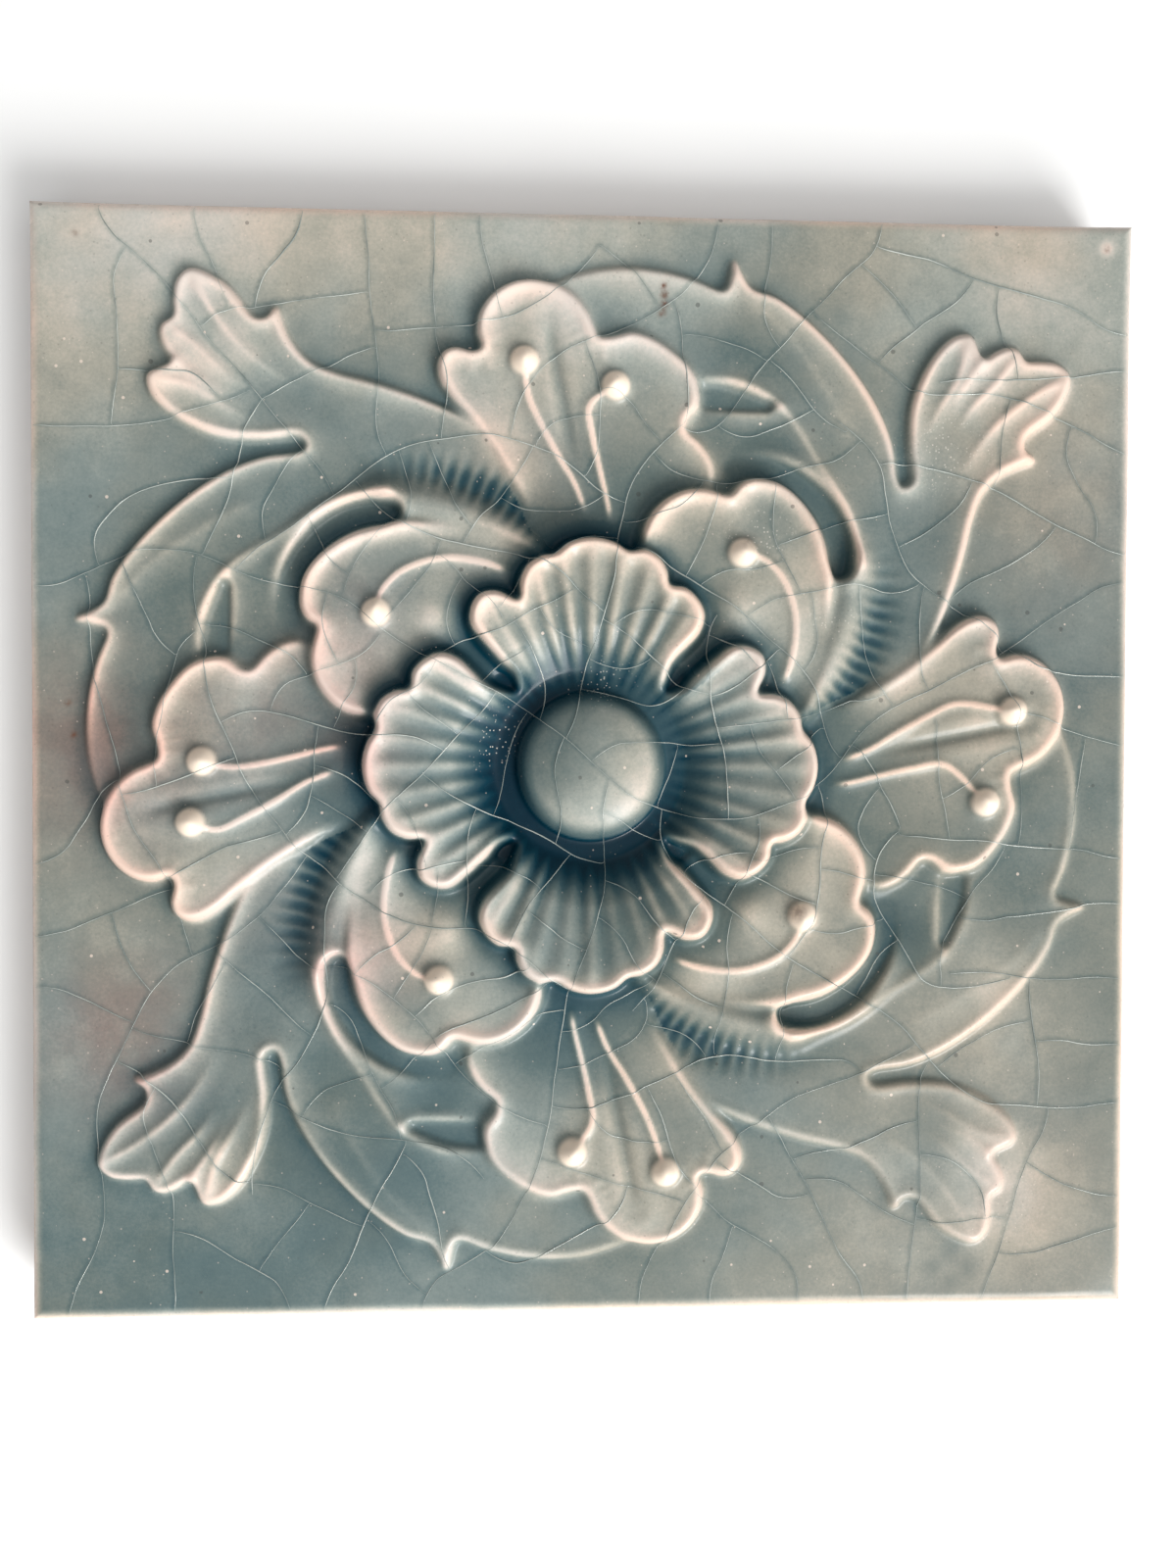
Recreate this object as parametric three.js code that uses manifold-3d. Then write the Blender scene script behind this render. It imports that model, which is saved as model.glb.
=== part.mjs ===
// Relief tile: a square pressed-clay tile, face up, with a scrolling flower ornament in high relief.
// The ornament is one quarter, drawn once and turned four times round a ruffled rosette with a domed
// boss. The clay carries the whole relief and a keyed back; the coloured glaze is solid wherever it
// lies thick: over the flat ground and in the hollows where it pooled. On the raised ornament its
// film is a tenth or two of a millimetre, and there the clay's own surface stands for it.
// Millimetres, +Z up, origin at the centre of the underside, +Y the top of the tile on a wall.
import * as THREE from "three";
import { mergeVertices } from "three/addons/utils/BufferGeometryUtils.js";
import Module from "manifold-3d";

// Tile blank. The plan, which is every length across the face, is drawn for a tile of DRAWN_SIDE and
// laid out on one of TILE_SIDE; heights and thicknesses are the tile's own.
const TILE_SIDE = 152;
const DRAWN_SIDE = 152;
const PLAN_SCALE = TILE_SIDE / DRAWN_SIDE;
const PLAIN_BORDER = 3;
const SLAB_THICKNESS = 9.5;
const ARRIS_INSET = 0.9;
const ARRIS_DROP = 0.7;
const BACK_BEVEL = 0.8;

// Keyed back: dovetail grooves that hold the mortar
const KEY_GROOVES = 8;
const KEY_GROOVE_PITCH = 17;
const KEY_GROOVE_MOUTH = 6.5;
const KEY_GROOVE_ROOT = 8;
const KEY_GROOVE_DEPTH = 1.8;
const KEY_BORDER = 7;

// Lips. A shape is the half width of the narrow crest and the run of the long inner flank; a
// range is where along the plan, or along a line from 0 to 1, something sets in or fades away.
const LIP_CREST = 0.6;
const LIP_FOOT = -0.5;
const LIP_SHARPNESS = 0.45;
const CREST_SHARPNESS = 0.55;

// Scroll: leaves, ribs and veins
const SCROLL_FIELD = 1.15;
const SCROLL_LIP = 1.0;
const SCROLL_LIP_SHAPE = [0.5, 2.6];
const TUCK_ALONG_Y = [-4, 12];
const TUCK_ALONG_X = [-60, -50];
const TUCKED_LIP_SHARE = 0.25;
const LEAF_RIB = 0.9;
const LEAF_RIB_SHAPE = [0.5, 2];
const LEAF_RIB_START = [-0.05, 0.1];
const LEAF_RIB_FADE = [0.45, 1];
const LEAF_VEIN = 0.4;
const LEAF_VEIN_RUN = 1.5;
const LEAF_VEIN_START = [0, 0.15];
const LEAF_VEIN_FADE = [0.8, 1];
const LEAFLET_FOLD = 0.85;
const LEAFLET_FOLD_SHAPE = [0.6, 2.4];
const LEAFLET_FOLD_FADE = [0.85, 1];
const LEAFLET_FOLD_LOSS = 0.6;
const LEAFLET_EDGE_HEIGHT = 0.425;
const LEAFLET_EDGE_WIDTH = 0.8;
const LEAFLET_EDGE_FADE = [0.6, 1];
const LEAFLET_HOLLOW = 0.55;
const LEAFLET_HOLLOW_WIDTH = 5;
const LEAFLET_HOLLOW_STRETCH = 1.3;
const STEM_RIDGE = 1.9;
const STEM_WIDTH = 2.9;

// Ribbed groove beside the stem
const GROOVE_DEPTH = 1.35;
const GROOVE_WIDTH = 2.6;
const GROOVE_LEAST_SHARE = 0.35;
const GROOVE_DEEPENS = [0.15, 0.8];
const GROOVE_START = [0, 0.2];
const GROOVE_RIBS = 17;
const GROOVE_RIB_HEIGHT = 0.4;
const GROOVE_RIB_WIDTH = 2.21;
const GROOVE_RIB_START = [0.05, 0.5];

// Channels sunk in the scroll: the slit round the bud and the leaf's eye
const CHANNEL_FLOOR = 0.15;
const CHANNEL_WALL = 1.1;
const BANK_FROM_EDGE = 1.2;
const BANK_WIDTH = 1.3;
const BANK_FADE = [0.55, 1];
const SLIT_HALF_WIDTH = 1.1;
const CHANNEL_REACH = SLIT_HALF_WIDTH + BANK_FROM_EDGE + 3.5 * BANK_WIDTH;
const SLIT_BANK = 0.7;
const SLIT_SHALLOW_END = 0.5;
const SLIT_SHALLOWS = [0.85, 1];
const EYE_HALF_WIDTH = 1.0;
const EYE_WIDENS = [-0.1, 0.7];

// How much softer the ridges print towards the lower right corner, and where that sets in
const SOFT_CORNER = 0.5;
const SOFTENS = [20, 95];

// Trumpets
const TRUMPET_FIELD = 2.25;
const TRUMPET_THROAT = 0.9;
const TRUMPET_OPENS = [33, 57];
const TRUMPET_LIP = 1.1;
const TRUMPET_LIP_SHAPE = [0.5, 2.4];
const TRUMPET_LIP_START = [34, 42];
const TRUMPET_CREASE = 0.6;
const CREASE_WIDTH = 0.6;
const CREASE_START = [0, 0.15];
const CREASE_FADE = [0.6, 1];
const CREASE_BANK = 0.24;
const CREASE_BANK_AT = 2.2;
const CREASE_BANK_WIDTH = 1.3;

// Buds
const BUD_FIELD = 2.75;
const BUD_THROAT = 1.1;
const BUD_OPENS = [22, 35];
const BUD_LIP = 1.5;
const BUD_LIP_SHAPE = [0.8, 2.8];
const BUD_LIP_START = [25.5, 32];
const BUD_LIP_TURNS_IN = [-27, -17];
const BUD_LIP_LOSS = 0.9;
const BUD_CHEEK = 1.0;
const BUD_CHEEK_WIDTH = 3;
const BUD_VALLEY_DEPTH = 0.5;
const BUD_VALLEY_WIDTH = 1.6;
const BUD_VALLEY_START = [0, 0.3];

// Stamens
const FILAMENT_HEIGHT = 0.7;
const FILAMENT_WIDTH = 0.65;
const FILAMENT_FADE = [0.75, 1];
const ANTHER_RADIUS = 1.95;
const ANTHER_HEIGHT = 1.9;

// Rosette petals
const ROSETTE_LIP = 1.05;
const ROSETTE_LIP_SHAPE = [0.6, 1.8];
const ROSETTE_RISE = 4;
const FLUTE_HEIGHT = 0.3;
const FLUTES = 44;
const FLUTE_START = [0.6, 2.6];

// Rosette dish and boss
const BOSS_RADIUS = 10.2;
const BOSS_SHOULDER = 1.2;
const BOSS_DOME = 4.3;
const CUP_FLOOR = 0.2;
const CUP_WIDTH = 2.4;
const CUP_RADIUS = BOSS_RADIUS + CUP_WIDTH;
const DISH_RUNS = [0, 2, 3.8, 6.4, 9.4, 13.4, 17.4];
const DISH_HEIGHTS = [CUP_FLOOR, 1.5, 2.7, 4.0, 4.8, 5.4, 5.8];

// Walls of the ornament lean over this width, outside and inside its outline
const WALL_OUT = 0.85;
const WALL_IN = 0.15;

// Glaze
const GLAZE_SHEET = 0.5;
const GLAZE_POOL = 0.5;
const GLAZE_CLEARANCE = 0.45;
const BOND_LINE = 0.05;
const GLAZE_EDGE_INSET = 1.2;
const SLIT_POOL_SPAN = [0, 0.62];
const EYE_POOL_SPAN = [0.45, 0.8];
const POOL_STEP = 1.5;

// Facets
const LINE_STEP = 2.3;
const PATH_STEP = 1.2;
const FIELD_STEP = 3.1;
const GROUND_STEP = 13;
const LEAST_SPACING = 0.62;
const LINE_TOLERANCE = 0.15;
const SEAT_SPACING = 0.3;
const SEAT_TOLERANCE = 0.06;
const SEAT_ROUNDS = 3;
const SEAT_STOPS = 6;
const SEAT_HALVINGS = 10;
const CUP_FACETS = 48;
const CONTOUR_CELL = 1.1;
const CONTOUR_TOLERANCE = 0.1;
const LEAST_POCKET = 25 * CONTOUR_CELL ** 2;
const JITTER = 0.004;

const HALF_SIDE = DRAWN_SIDE / 2;
const QUARTER_NAMES = ["north_west", "north_east", "south_east", "south_west"];
const QUARTERS = [...QUARTER_NAMES.keys()];
const FAR = 99;

// Smooth step from 0 at a to 1 at b.
function ease(a, b, x) {
  const t = Math.min(1, Math.max(0, (x - a) / (b - a)));
  return t * t * (3 - 2 * t);
}

// A rounded bump of unit height at zero, of the given half width.
function bump(distance, width) {
  return Math.exp(-((distance / width) ** 2));
}

// A crest of unit height with a sharp top and hollow flanks, of the given shape.
function crest(distance, [width, flank]) {
  return CREST_SHARPNESS * bump(distance, width) + (1 - CREST_SHARPNESS) * Math.exp(-distance / flank);
}

// A drawn line: points joined by a smooth curve, with distances measured to it in the plane.
class Path {
  constructor(points, closed = false) {
    const knots = points.map(([x, y]) => new THREE.Vector3(x, y, 0));
    this.curve = new THREE.CatmullRomCurve3(knots, closed, "centripetal");
    this.length = this.curve.getLength();
    this.closed = closed;
    this.line = this.spaced(PATH_STEP);
    this.box = new THREE.Box2().setFromPoints(this.line);
  }

  // Points an even step apart along the curve.
  spaced(step) {
    const count = Math.max(3, Math.round(this.length / step));
    const points = this.curve.getSpacedPoints(count);
    return points.map((p) => new THREE.Vector2(p.x, p.y));
  }

  // True where the plane point lies within a margin of the path's own box.
  near(x, y, margin) {
    const { min, max } = this.box;
    const inX = x > min.x - margin && x < max.x + margin;
    return inX && y > min.y - margin && y < max.y + margin;
  }

  // Distance to the line, and how far along it the nearest point lies, from 0 to 1.
  nearest(x, y) {
    let best = Infinity;
    let along = 0;
    for (let i = 0; i + 1 < this.line.length; i += 1) {
      const a = this.line[i];
      const dx = this.line[i + 1].x - a.x;
      const dy = this.line[i + 1].y - a.y;
      const reach = ((x - a.x) * dx + (y - a.y) * dy) / (dx * dx + dy * dy);
      const t = Math.min(1, Math.max(0, reach));
      const square = (x - a.x - t * dx) ** 2 + (y - a.y - t * dy) ** 2;
      if (square < best) {
        best = square;
        along = (i + t) / (this.line.length - 1);
      }
    }
    return { gap: Math.sqrt(best), along };
  }

  // Distance inside a closed outline, negative outside it.
  depth(x, y, margin = 4) {
    if (!this.near(x, y, margin)) return -FAR;
    let inside = false;
    for (let i = 0; i + 1 < this.line.length; i += 1) {
      const a = this.line[i];
      const b = this.line[i + 1];
      const crosses = a.y > y !== b.y > y;
      if (crosses && x < a.x + ((b.x - a.x) * (y - a.y)) / (b.y - a.y)) inside = !inside;
    }
    const { gap } = this.nearest(x, y);
    return inside ? gap : -gap;
  }
}

// Drawing of one quarter. Each group is drawn a little larger than it is made, by its own scale.
const SCROLL_SCALE = 0.988;
const TRUMPET_SCALE = 0.981;
const BUD_SCALE = 0.976;
const ROSETTE_SCALE = 0.964;
const STAMEN_SCALE = 0.972;

function drawn(points, scale, closed = false) {
  return new Path(points.map(([x, y]) => [x * scale, y * scale]), closed);
}

// Acanthus scroll: corner leaf with its lobes, the notch under it, and the long leaf to its spur.
const scroll = drawn([
  [-12, 44], [-16, 47.2], [-22, 50], [-30, 52.6], [-35, 53.8], [-38.6, 55.2], [-41, 57.6], [-42.4, 60.2],
  [-43.4, 62.6], [-44.6, 61.2], [-46.3, 61.2], [-49.5, 65], [-52, 66.7], [-55, 67.6], [-56.7, 66],
  [-57.1, 63.5], [-57.2, 61], [-58.6, 60.2], [-59, 58.6], [-58.2, 56.6], [-57.2, 55], [-58.5, 54.3],
  [-60.6, 53.3], [-60.4, 51], [-58, 48.3], [-54, 46], [-50, 44.8], [-45, 44.6], [-40, 44.9], [-39.3, 43.6],
  [-40.5, 42.9], [-45, 42.2], [-50, 40.2], [-56, 36.2], [-62, 30.4], [-65.4, 25.6], [-66.6, 22.2],
  [-69, 20.6], [-70.4, 19.9], [-68, 19.2], [-66.2, 18.4], [-67.6, 14], [-68.7, 9], [-69, 4], [-68.3, -1],
  [-66, -6], [-60, -8], [-40, 4], [-20, 12], [-5, 20], [0, 34], [-4, 42],
], SCROLL_SCALE, true);
const leafRibs = [
  [[-54.8, 67], [-52, 62], [-48, 57], [-43, 53.2], [-38, 51]],
  [[-57.5, 59.5], [-54, 57], [-50, 53.2], [-46, 51]],
  [[-60, 52.6], [-55, 51.6], [-50, 48.8], [-45, 46.3]],
  [[-57.3, 55.2], [-53.5, 52.4], [-49, 49.8]],
].map((points) => drawn(points, SCROLL_SCALE));
const longLeafVein = drawn([[-66, 21], [-60, 27.5], [-52, 33], [-44, 37]], SCROLL_SCALE);
const leafletFold = drawn([
  [-28, 37.6], [-34, 36.4], [-39, 34], [-43, 31.3], [-46.5, 29.2], [-49.8, 26.7], [-52.2, 23.5], [-53.6, 20],
  [-54, 16],
], SCROLL_SCALE);
const leafletEdge = drawn([[-50, 26.4], [-49, 23.5], [-49.2, 19.5], [-49.6, 16]], SCROLL_SCALE);
const leafEye = drawn([[-50.3, 24.6], [-50.9, 21.5], [-51.4, 18.3], [-51.6, 15.2]], SCROLL_SCALE);
const stem = drawn([[-28, 36.6], [-21, 35.6], [-14, 33.2], [-8, 29.6]], SCROLL_SCALE);
const ribbedGroove = drawn([
  [-34, 39.3], [-27, 40.9], [-20.5, 40.2], [-14, 38], [-8.3, 34.8], [-3.5, 31],
], SCROLL_SCALE);
const budSlit = drawn([
  [-28, 34.7], [-30, 34.9], [-33, 34.2], [-36, 32.5], [-38.5, 30], [-40.4, 27], [-41.4, 24], [-41.6, 20],
], SCROLL_SCALE);

// Trumpet flower, seen from the side, with its centre crease and two stamens.
const trumpet = drawn([
  [-17, 48.3], [-19.5, 51], [-21, 53.5], [-21.3, 55.5], [-20.5, 57.2], [-18.8, 57.8], [-16.8, 57.3],
  [-15.4, 57.7], [-15.9, 60], [-15.6, 62.5], [-14, 65], [-11.5, 66.7], [-8.5, 67.3], [-5.2, 66.6],
  [-2.6, 65], [-0.8, 62.8], [0.2, 60.6], [0.9, 59.5], [3, 59.6], [5.5, 60.2], [8.5, 59.3], [11.3, 57.5],
  [13.6, 55.3], [14.7, 52.8], [14.8, 50.5], [13.3, 48.3], [13.2, 46.9], [15, 45.3], [16.6, 43.2],
  [17.3, 40.5], [15, 36], [8, 31], [0, 29], [-6, 31], [-10, 38], [-14, 44.5],
], TRUMPET_SCALE, true);
const trumpetCrease = drawn([[-6.5, 62], [-5.2, 56], [-4, 50], [-2.8, 44], [-1.6, 39]], TRUMPET_SCALE);

// Half-open bud with turned lips.
const bud = drawn([
  [-27, 33.8], [-29.5, 33], [-32.5, 32.2], [-35.2, 30.9], [-37.8, 28.9], [-39.6, 26.5], [-40.3, 24],
  [-40.2, 21.8], [-39.3, 20.3], [-38, 19.2], [-38.4, 17.3], [-38.8, 15], [-38.4, 12.5], [-37, 10],
  [-34.8, 8], [-32, 6.9], [-28, 6.5], [-22, 9], [-15, 12], [-10, 17], [-7, 24], [-8, 29], [-14, 32.2],
  [-20, 33.6],
], BUD_SCALE, true);
const budValley = drawn([[-27, 33.6], [-22, 32.8], [-18, 32], [-14, 31], [-10, 28.5]], BUD_SCALE);
const BUD_CHEEK_AT = [-21.8, 19.8];
const LEAFLET_HOLLOW_AT = [-43.5, 21.7];

// Stamens, each from its anther down to the throat. The trumpets' anthers were set on by hand, so
// each flower's pair stands a little differently: north, west, south and east.
const leftFilament = [[-9, 52], [-7.5, 48.5], [-5, 44], [-2.5, 40], [-0.5, 35]];
const rightFilament = [[-0.3, 50.5], [0.2, 46], [1.2, 41.5], [2.3, 37], [2.7, 34]];
const budFilament = [[-29.3, 24], [-27, 26.6], [-24, 28.1], [-20, 28.9], [-15, 28.3], [-11, 27]];
const antherSets = [
  { left: [-9.5, 56.5], right: [3.3, 53.3], bud: [-30, 21.2] },
  { left: [-8, 55.5], right: [0.5, 54], bud: [-30, 21.2] },
  { left: [-10.7, 57.5], right: [2.5, 54.5], bud: [-30, 21.2] },
  { left: [-8, 60.2], right: [5, 56.3], bud: [-30, 21.2] },
];
const filaments = [leftFilament, rightFilament, budFilament].map((points) => drawn(points, STAMEN_SCALE));
const stamenSets = antherSets.map(({ left, right, bud: inner }) => [
  drawn([left, ...leftFilament], STAMEN_SCALE),
  drawn([right, ...rightFilament], STAMEN_SCALE),
  drawn([inner, ...budFilament], STAMEN_SCALE),
]);

// Rosette: one ruffled petal and the round end of the slot beside it, turned four times.
const petal = [
  [-12.6, 14.7], [-15.1, 17.4], [-16.9, 19.9], [-16.8, 22.1], [-15.6, 23.9], [-13.5, 24.3], [-11.5, 23.6],
  [-10.3, 23.2], [-10.1, 25.6], [-9.1, 27.9], [-7, 29.2], [-5.2, 29.6], [-3.4, 31.1], [0, 31.9], [3.2, 31.2],
  [5, 30.1], [7, 30.2], [9.2, 29.2], [10.4, 27.2], [10.8, 25.4], [13, 25], [14.8, 23.4], [15.7, 21.3],
  [15.1, 19], [13.4, 17], [11.8, 15.3], [10.7, 12.9], [10.4, 10.6], [12.7, 10.7],
];
const rosette = drawn(
  QUARTERS.flatMap((quarter) => petal.map(([x, y]) => turned(x, y, quarter))),
  ROSETTE_SCALE,
  true,
);

// Channels sunk in the ornament: half width by place along the path, and the span that its glaze fills.
const slitChannel = {
  name: "bud_slit_glaze",
  path: budSlit,
  halfWidthAt: () => SLIT_HALF_WIDTH,
  bank: SLIT_BANK,
  shallowEnd: SLIT_SHALLOW_END,
  span: SLIT_POOL_SPAN,
};
const eyeChannel = {
  name: "leaf_eye_glaze",
  path: leafEye,
  halfWidthAt: (along) => EYE_HALF_WIDTH * ease(...EYE_WIDENS, along),
  bank: 0,
  shallowEnd: 0,
  span: EYE_POOL_SPAN,
};
const channels = [slitChannel, eyeChannel];

// The point turned clockwise by quarters, so that each copy is measured in the first one's drawing.
function turned(x, y, quarter) {
  const turns = [[x, y], [y, -x], [-x, -y], [-y, x]];
  return turns[quarter];
}

// A point of the drawing's plan on the tile.
function onTile(x, y) {
  return [x * PLAN_SCALE, y * PLAN_SCALE];
}

// A lip just inside an outline: steep outside, with a narrow crest and a long inner flank.
function lip(depth, height, [width, flank]) {
  const inner = Math.max(0, depth - LIP_CREST);
  const profile = LIP_SHARPNESS * bump(inner, width) + (1 - LIP_SHARPNESS) * Math.exp(-inner / flank);
  return height * ease(LIP_FOOT, LIP_CREST, depth) * profile;
}

// Lays a surface over what is under it, with a leaning wall at its outline.
function over(under, height, depth) {
  const cover = ease(-WALL_OUT, WALL_IN, depth);
  return under * (1 - cover) + height * cover;
}

// Leaf, leaflet, stem and groove of one quarter; firm is how sharply the mould printed its ridges.
function scrollHeight(x, y, firm) {
  const depth = scroll.depth(x, y);
  if (depth < -WALL_OUT) return 0;
  const tucked = Math.min(1, ease(...TUCK_ALONG_Y, y) + ease(...TUCK_ALONG_X, x));
  const lipShare = TUCKED_LIP_SHARE + (1 - TUCKED_LIP_SHARE) * tucked;
  let ridges = lip(depth, SCROLL_LIP, SCROLL_LIP_SHAPE) * lipShare;
  for (const rib of leafRibs) {
    const { gap, along } = rib.nearest(x, y);
    const fade = 1 - ease(...LEAF_RIB_FADE, along);
    ridges += LEAF_RIB * crest(gap, LEAF_RIB_SHAPE) * fade * ease(...LEAF_RIB_START, along);
  }
  ridges += leafVeinHeight(x, y) + leafletHeight(x, y);
  const [hollowX, hollowY] = LEAFLET_HOLLOW_AT;
  const fromHollow = Math.hypot((x - hollowX) / LEAFLET_HOLLOW_STRETCH, y - hollowY);
  const hollow = LEAFLET_HOLLOW * bump(fromHollow, LEAFLET_HOLLOW_WIDTH);
  const stemRidge = STEM_RIDGE * bump(stem.nearest(x, y).gap, STEM_WIDTH);
  const height = SCROLL_FIELD - hollow + stemRidge + ribbedGrooveHeight(x, y) + firm * ridges;
  return height * ease(-WALL_OUT, WALL_IN, depth);
}

function leafVeinHeight(x, y) {
  const { gap, along } = longLeafVein.nearest(x, y);
  const fade = 1 - ease(...LEAF_VEIN_FADE, along);
  return LEAF_VEIN * Math.exp(-gap / LEAF_VEIN_RUN) * ease(...LEAF_VEIN_START, along) * fade;
}

// The leaflet's folded edge and the short edge beside its eye.
function leafletHeight(x, y) {
  const fold = leafletFold.nearest(x, y);
  const folded = LEAFLET_FOLD * crest(fold.gap, LEAFLET_FOLD_SHAPE);
  const edge = leafletEdge.nearest(x, y);
  const edged = LEAFLET_EDGE_HEIGHT * bump(edge.gap, LEAFLET_EDGE_WIDTH);
  const foldShare = 1 - LEAFLET_FOLD_LOSS * ease(...LEAFLET_FOLD_FADE, fold.along);
  return folded * foldShare + edged * (1 - ease(...LEAFLET_EDGE_FADE, edge.along));
}

// The dark groove above the stem, crossed by small ribs that grow towards the rosette.
function ribbedGrooveHeight(x, y) {
  const { gap, along } = ribbedGroove.nearest(x, y);
  const deepened = GROOVE_LEAST_SHARE + (1 - GROOVE_LEAST_SHARE) * ease(...GROOVE_DEEPENS, along);
  const hollow = GROOVE_DEPTH * deepened * ease(...GROOVE_START, along);
  const wave = Math.cos(2 * Math.PI * along * GROOVE_RIBS) * ease(...GROOVE_RIB_START, along);
  return GROOVE_RIB_HEIGHT * wave * bump(gap, GROOVE_RIB_WIDTH) - hollow * bump(gap, GROOVE_WIDTH);
}

// A flat-floored channel along its path, with a raised bank on each side that fades along it.
function channelled(height, { path, halfWidthAt, bank, shallowEnd }, x, y) {
  if (!path.near(x, y, CHANNEL_REACH)) return height;
  const { gap, along } = path.nearest(x, y);
  const halfWidth = halfWidthAt(along);
  const fromBank = gap - halfWidth - BANK_FROM_EDGE;
  const banked = height + bank * bump(fromBank, BANK_WIDTH) * (1 - ease(...BANK_FADE, along));
  const wall = ease(halfWidth, halfWidth + CHANNEL_WALL, gap);
  const sunk = Math.min(1, wall + (1 - wall) * shallowEnd * ease(...SLIT_SHALLOWS, along));
  return banked * sunk + CHANNEL_FLOOR * (1 - sunk);
}

function trumpetHeight(under, x, y, firm) {
  const depth = trumpet.depth(x, y);
  if (depth < -WALL_OUT) return under;
  let height = TRUMPET_THROAT + (TRUMPET_FIELD - TRUMPET_THROAT) * ease(...TRUMPET_OPENS, y);
  height += firm * lip(depth, TRUMPET_LIP, TRUMPET_LIP_SHAPE) * ease(...TRUMPET_LIP_START, y);
  const { gap, along } = trumpetCrease.nearest(x, y);
  const fade = 1 - ease(...CREASE_FADE, along);
  height -= TRUMPET_CREASE * bump(gap, CREASE_WIDTH) * ease(...CREASE_START, along) * fade;
  height += CREASE_BANK * bump(gap - CREASE_BANK_AT, CREASE_BANK_WIDTH) * fade;
  return over(under, height, depth);
}

function budHeight(under, x, y, firm) {
  const depth = bud.depth(x, y);
  if (depth < -WALL_OUT) return under;
  const radius = Math.hypot(x, y);
  const turnedLip = ease(...BUD_LIP_START, radius) * (1 - BUD_LIP_LOSS * ease(...BUD_LIP_TURNS_IN, x));
  let height = BUD_THROAT + (BUD_FIELD - BUD_THROAT) * ease(...BUD_OPENS, radius);
  height += firm * lip(depth, BUD_LIP, BUD_LIP_SHAPE) * turnedLip;
  height += BUD_CHEEK * bump(Math.hypot(x - BUD_CHEEK_AT[0], y - BUD_CHEEK_AT[1]), BUD_CHEEK_WIDTH);
  const { gap, along } = budValley.nearest(x, y);
  height -= BUD_VALLEY_DEPTH * bump(gap, BUD_VALLEY_WIDTH) * ease(...BUD_VALLEY_START, along);
  return over(under, height, depth);
}

// Height of the rosette's dish at a radius: a flat cup floor, then a rise to the petals' edge.
function dishHeight(radius) {
  const run = radius - CUP_RADIUS;
  if (run <= 0) return CUP_FLOOR;
  const next = DISH_RUNS.findIndex((stop) => stop >= run);
  if (next < 0) return DISH_HEIGHTS.at(-1);
  const t = (run - DISH_RUNS[next - 1]) / (DISH_RUNS[next] - DISH_RUNS[next - 1]);
  return DISH_HEIGHTS[next - 1] + t * (DISH_HEIGHTS[next] - DISH_HEIGHTS[next - 1]);
}

function rosetteHeight(under, x, y) {
  const depth = rosette.depth(x, y);
  const radius = Math.hypot(x, y);
  if (depth < -WALL_OUT) return under;
  const angle = Math.atan2(y, x);
  const rise = ease(CUP_RADIUS, CUP_RADIUS + ROSETTE_RISE, radius);
  const flute = FLUTE_HEIGHT * Math.cos((angle - Math.PI / 2) * FLUTES) * ease(...FLUTE_START, depth);
  const raised = lip(depth, ROSETTE_LIP, ROSETTE_LIP_SHAPE) + flute;
  return over(under, dishHeight(radius) + raised * rise, depth);
}

function bossHeight(under, x, y) {
  const radius = Math.hypot(x, y);
  if (radius >= BOSS_RADIUS) return under;
  const dome = Math.sqrt(1 - (radius / BOSS_RADIUS) ** 2);
  return Math.max(under, BOSS_SHOULDER * Math.min(1, 4 * dome) + BOSS_DOME * dome);
}

function stamenHeight(path, x, y) {
  if (!path.near(x, y, 3)) return 0;
  const { gap, along } = path.nearest(x, y);
  const filament = FILAMENT_HEIGHT * bump(gap, FILAMENT_WIDTH) * (1 - ease(...FILAMENT_FADE, along));
  const fromAnther = path.line[0].distanceTo(new THREE.Vector2(x, y)) / ANTHER_RADIUS;
  return filament + ANTHER_HEIGHT * Math.sqrt(Math.max(0, 1 - fromAnther ** 2));
}

// Height of the clay's face over the flat ground, laid up from the scroll to the boss.
function reliefHeight(x, y) {
  const places = QUARTERS.map((quarter) => turned(x, y, quarter));
  const firm = 1 - SOFT_CORNER * ease(...SOFTENS, x - y);
  let height = Math.max(...places.map(([u, v]) => scrollHeight(u, v, firm)));
  for (const [u, v] of places) height = channelled(height, slitChannel, u, v);
  for (const [u, v] of places) height = channelled(height, eyeChannel, u, v);
  for (const [u, v] of places) height = trumpetHeight(height, u, v, firm);
  for (const [u, v] of places) height = budHeight(height, u, v, firm);
  height = rosetteHeight(height, x, y);
  height = bossHeight(height, x, y);
  places.forEach(([u, v], quarter) => {
    for (const path of stamenSets[quarter]) height += stamenHeight(path, u, v);
  });
  return height * ease(-WALL_OUT, WALL_IN, borderDepth(x, y));
}

// Distance inside the border that the ornament never runs over.
function borderDepth(x, y) {
  return HALF_SIDE - PLAIN_BORDER - Math.max(Math.abs(x), Math.abs(y));
}

// Depth inside the whole ornament, negative on the flat ground.
function ornamentDepth(x, y) {
  const depths = QUARTERS.flatMap((quarter) => {
    const [u, v] = turned(x, y, quarter);
    return [scroll, trumpet, bud].map((outline) => outline.depth(u, v, 9));
  });
  return Math.min(Math.max(...depths, rosette.depth(x, y, 9)), borderDepth(x, y));
}

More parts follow.
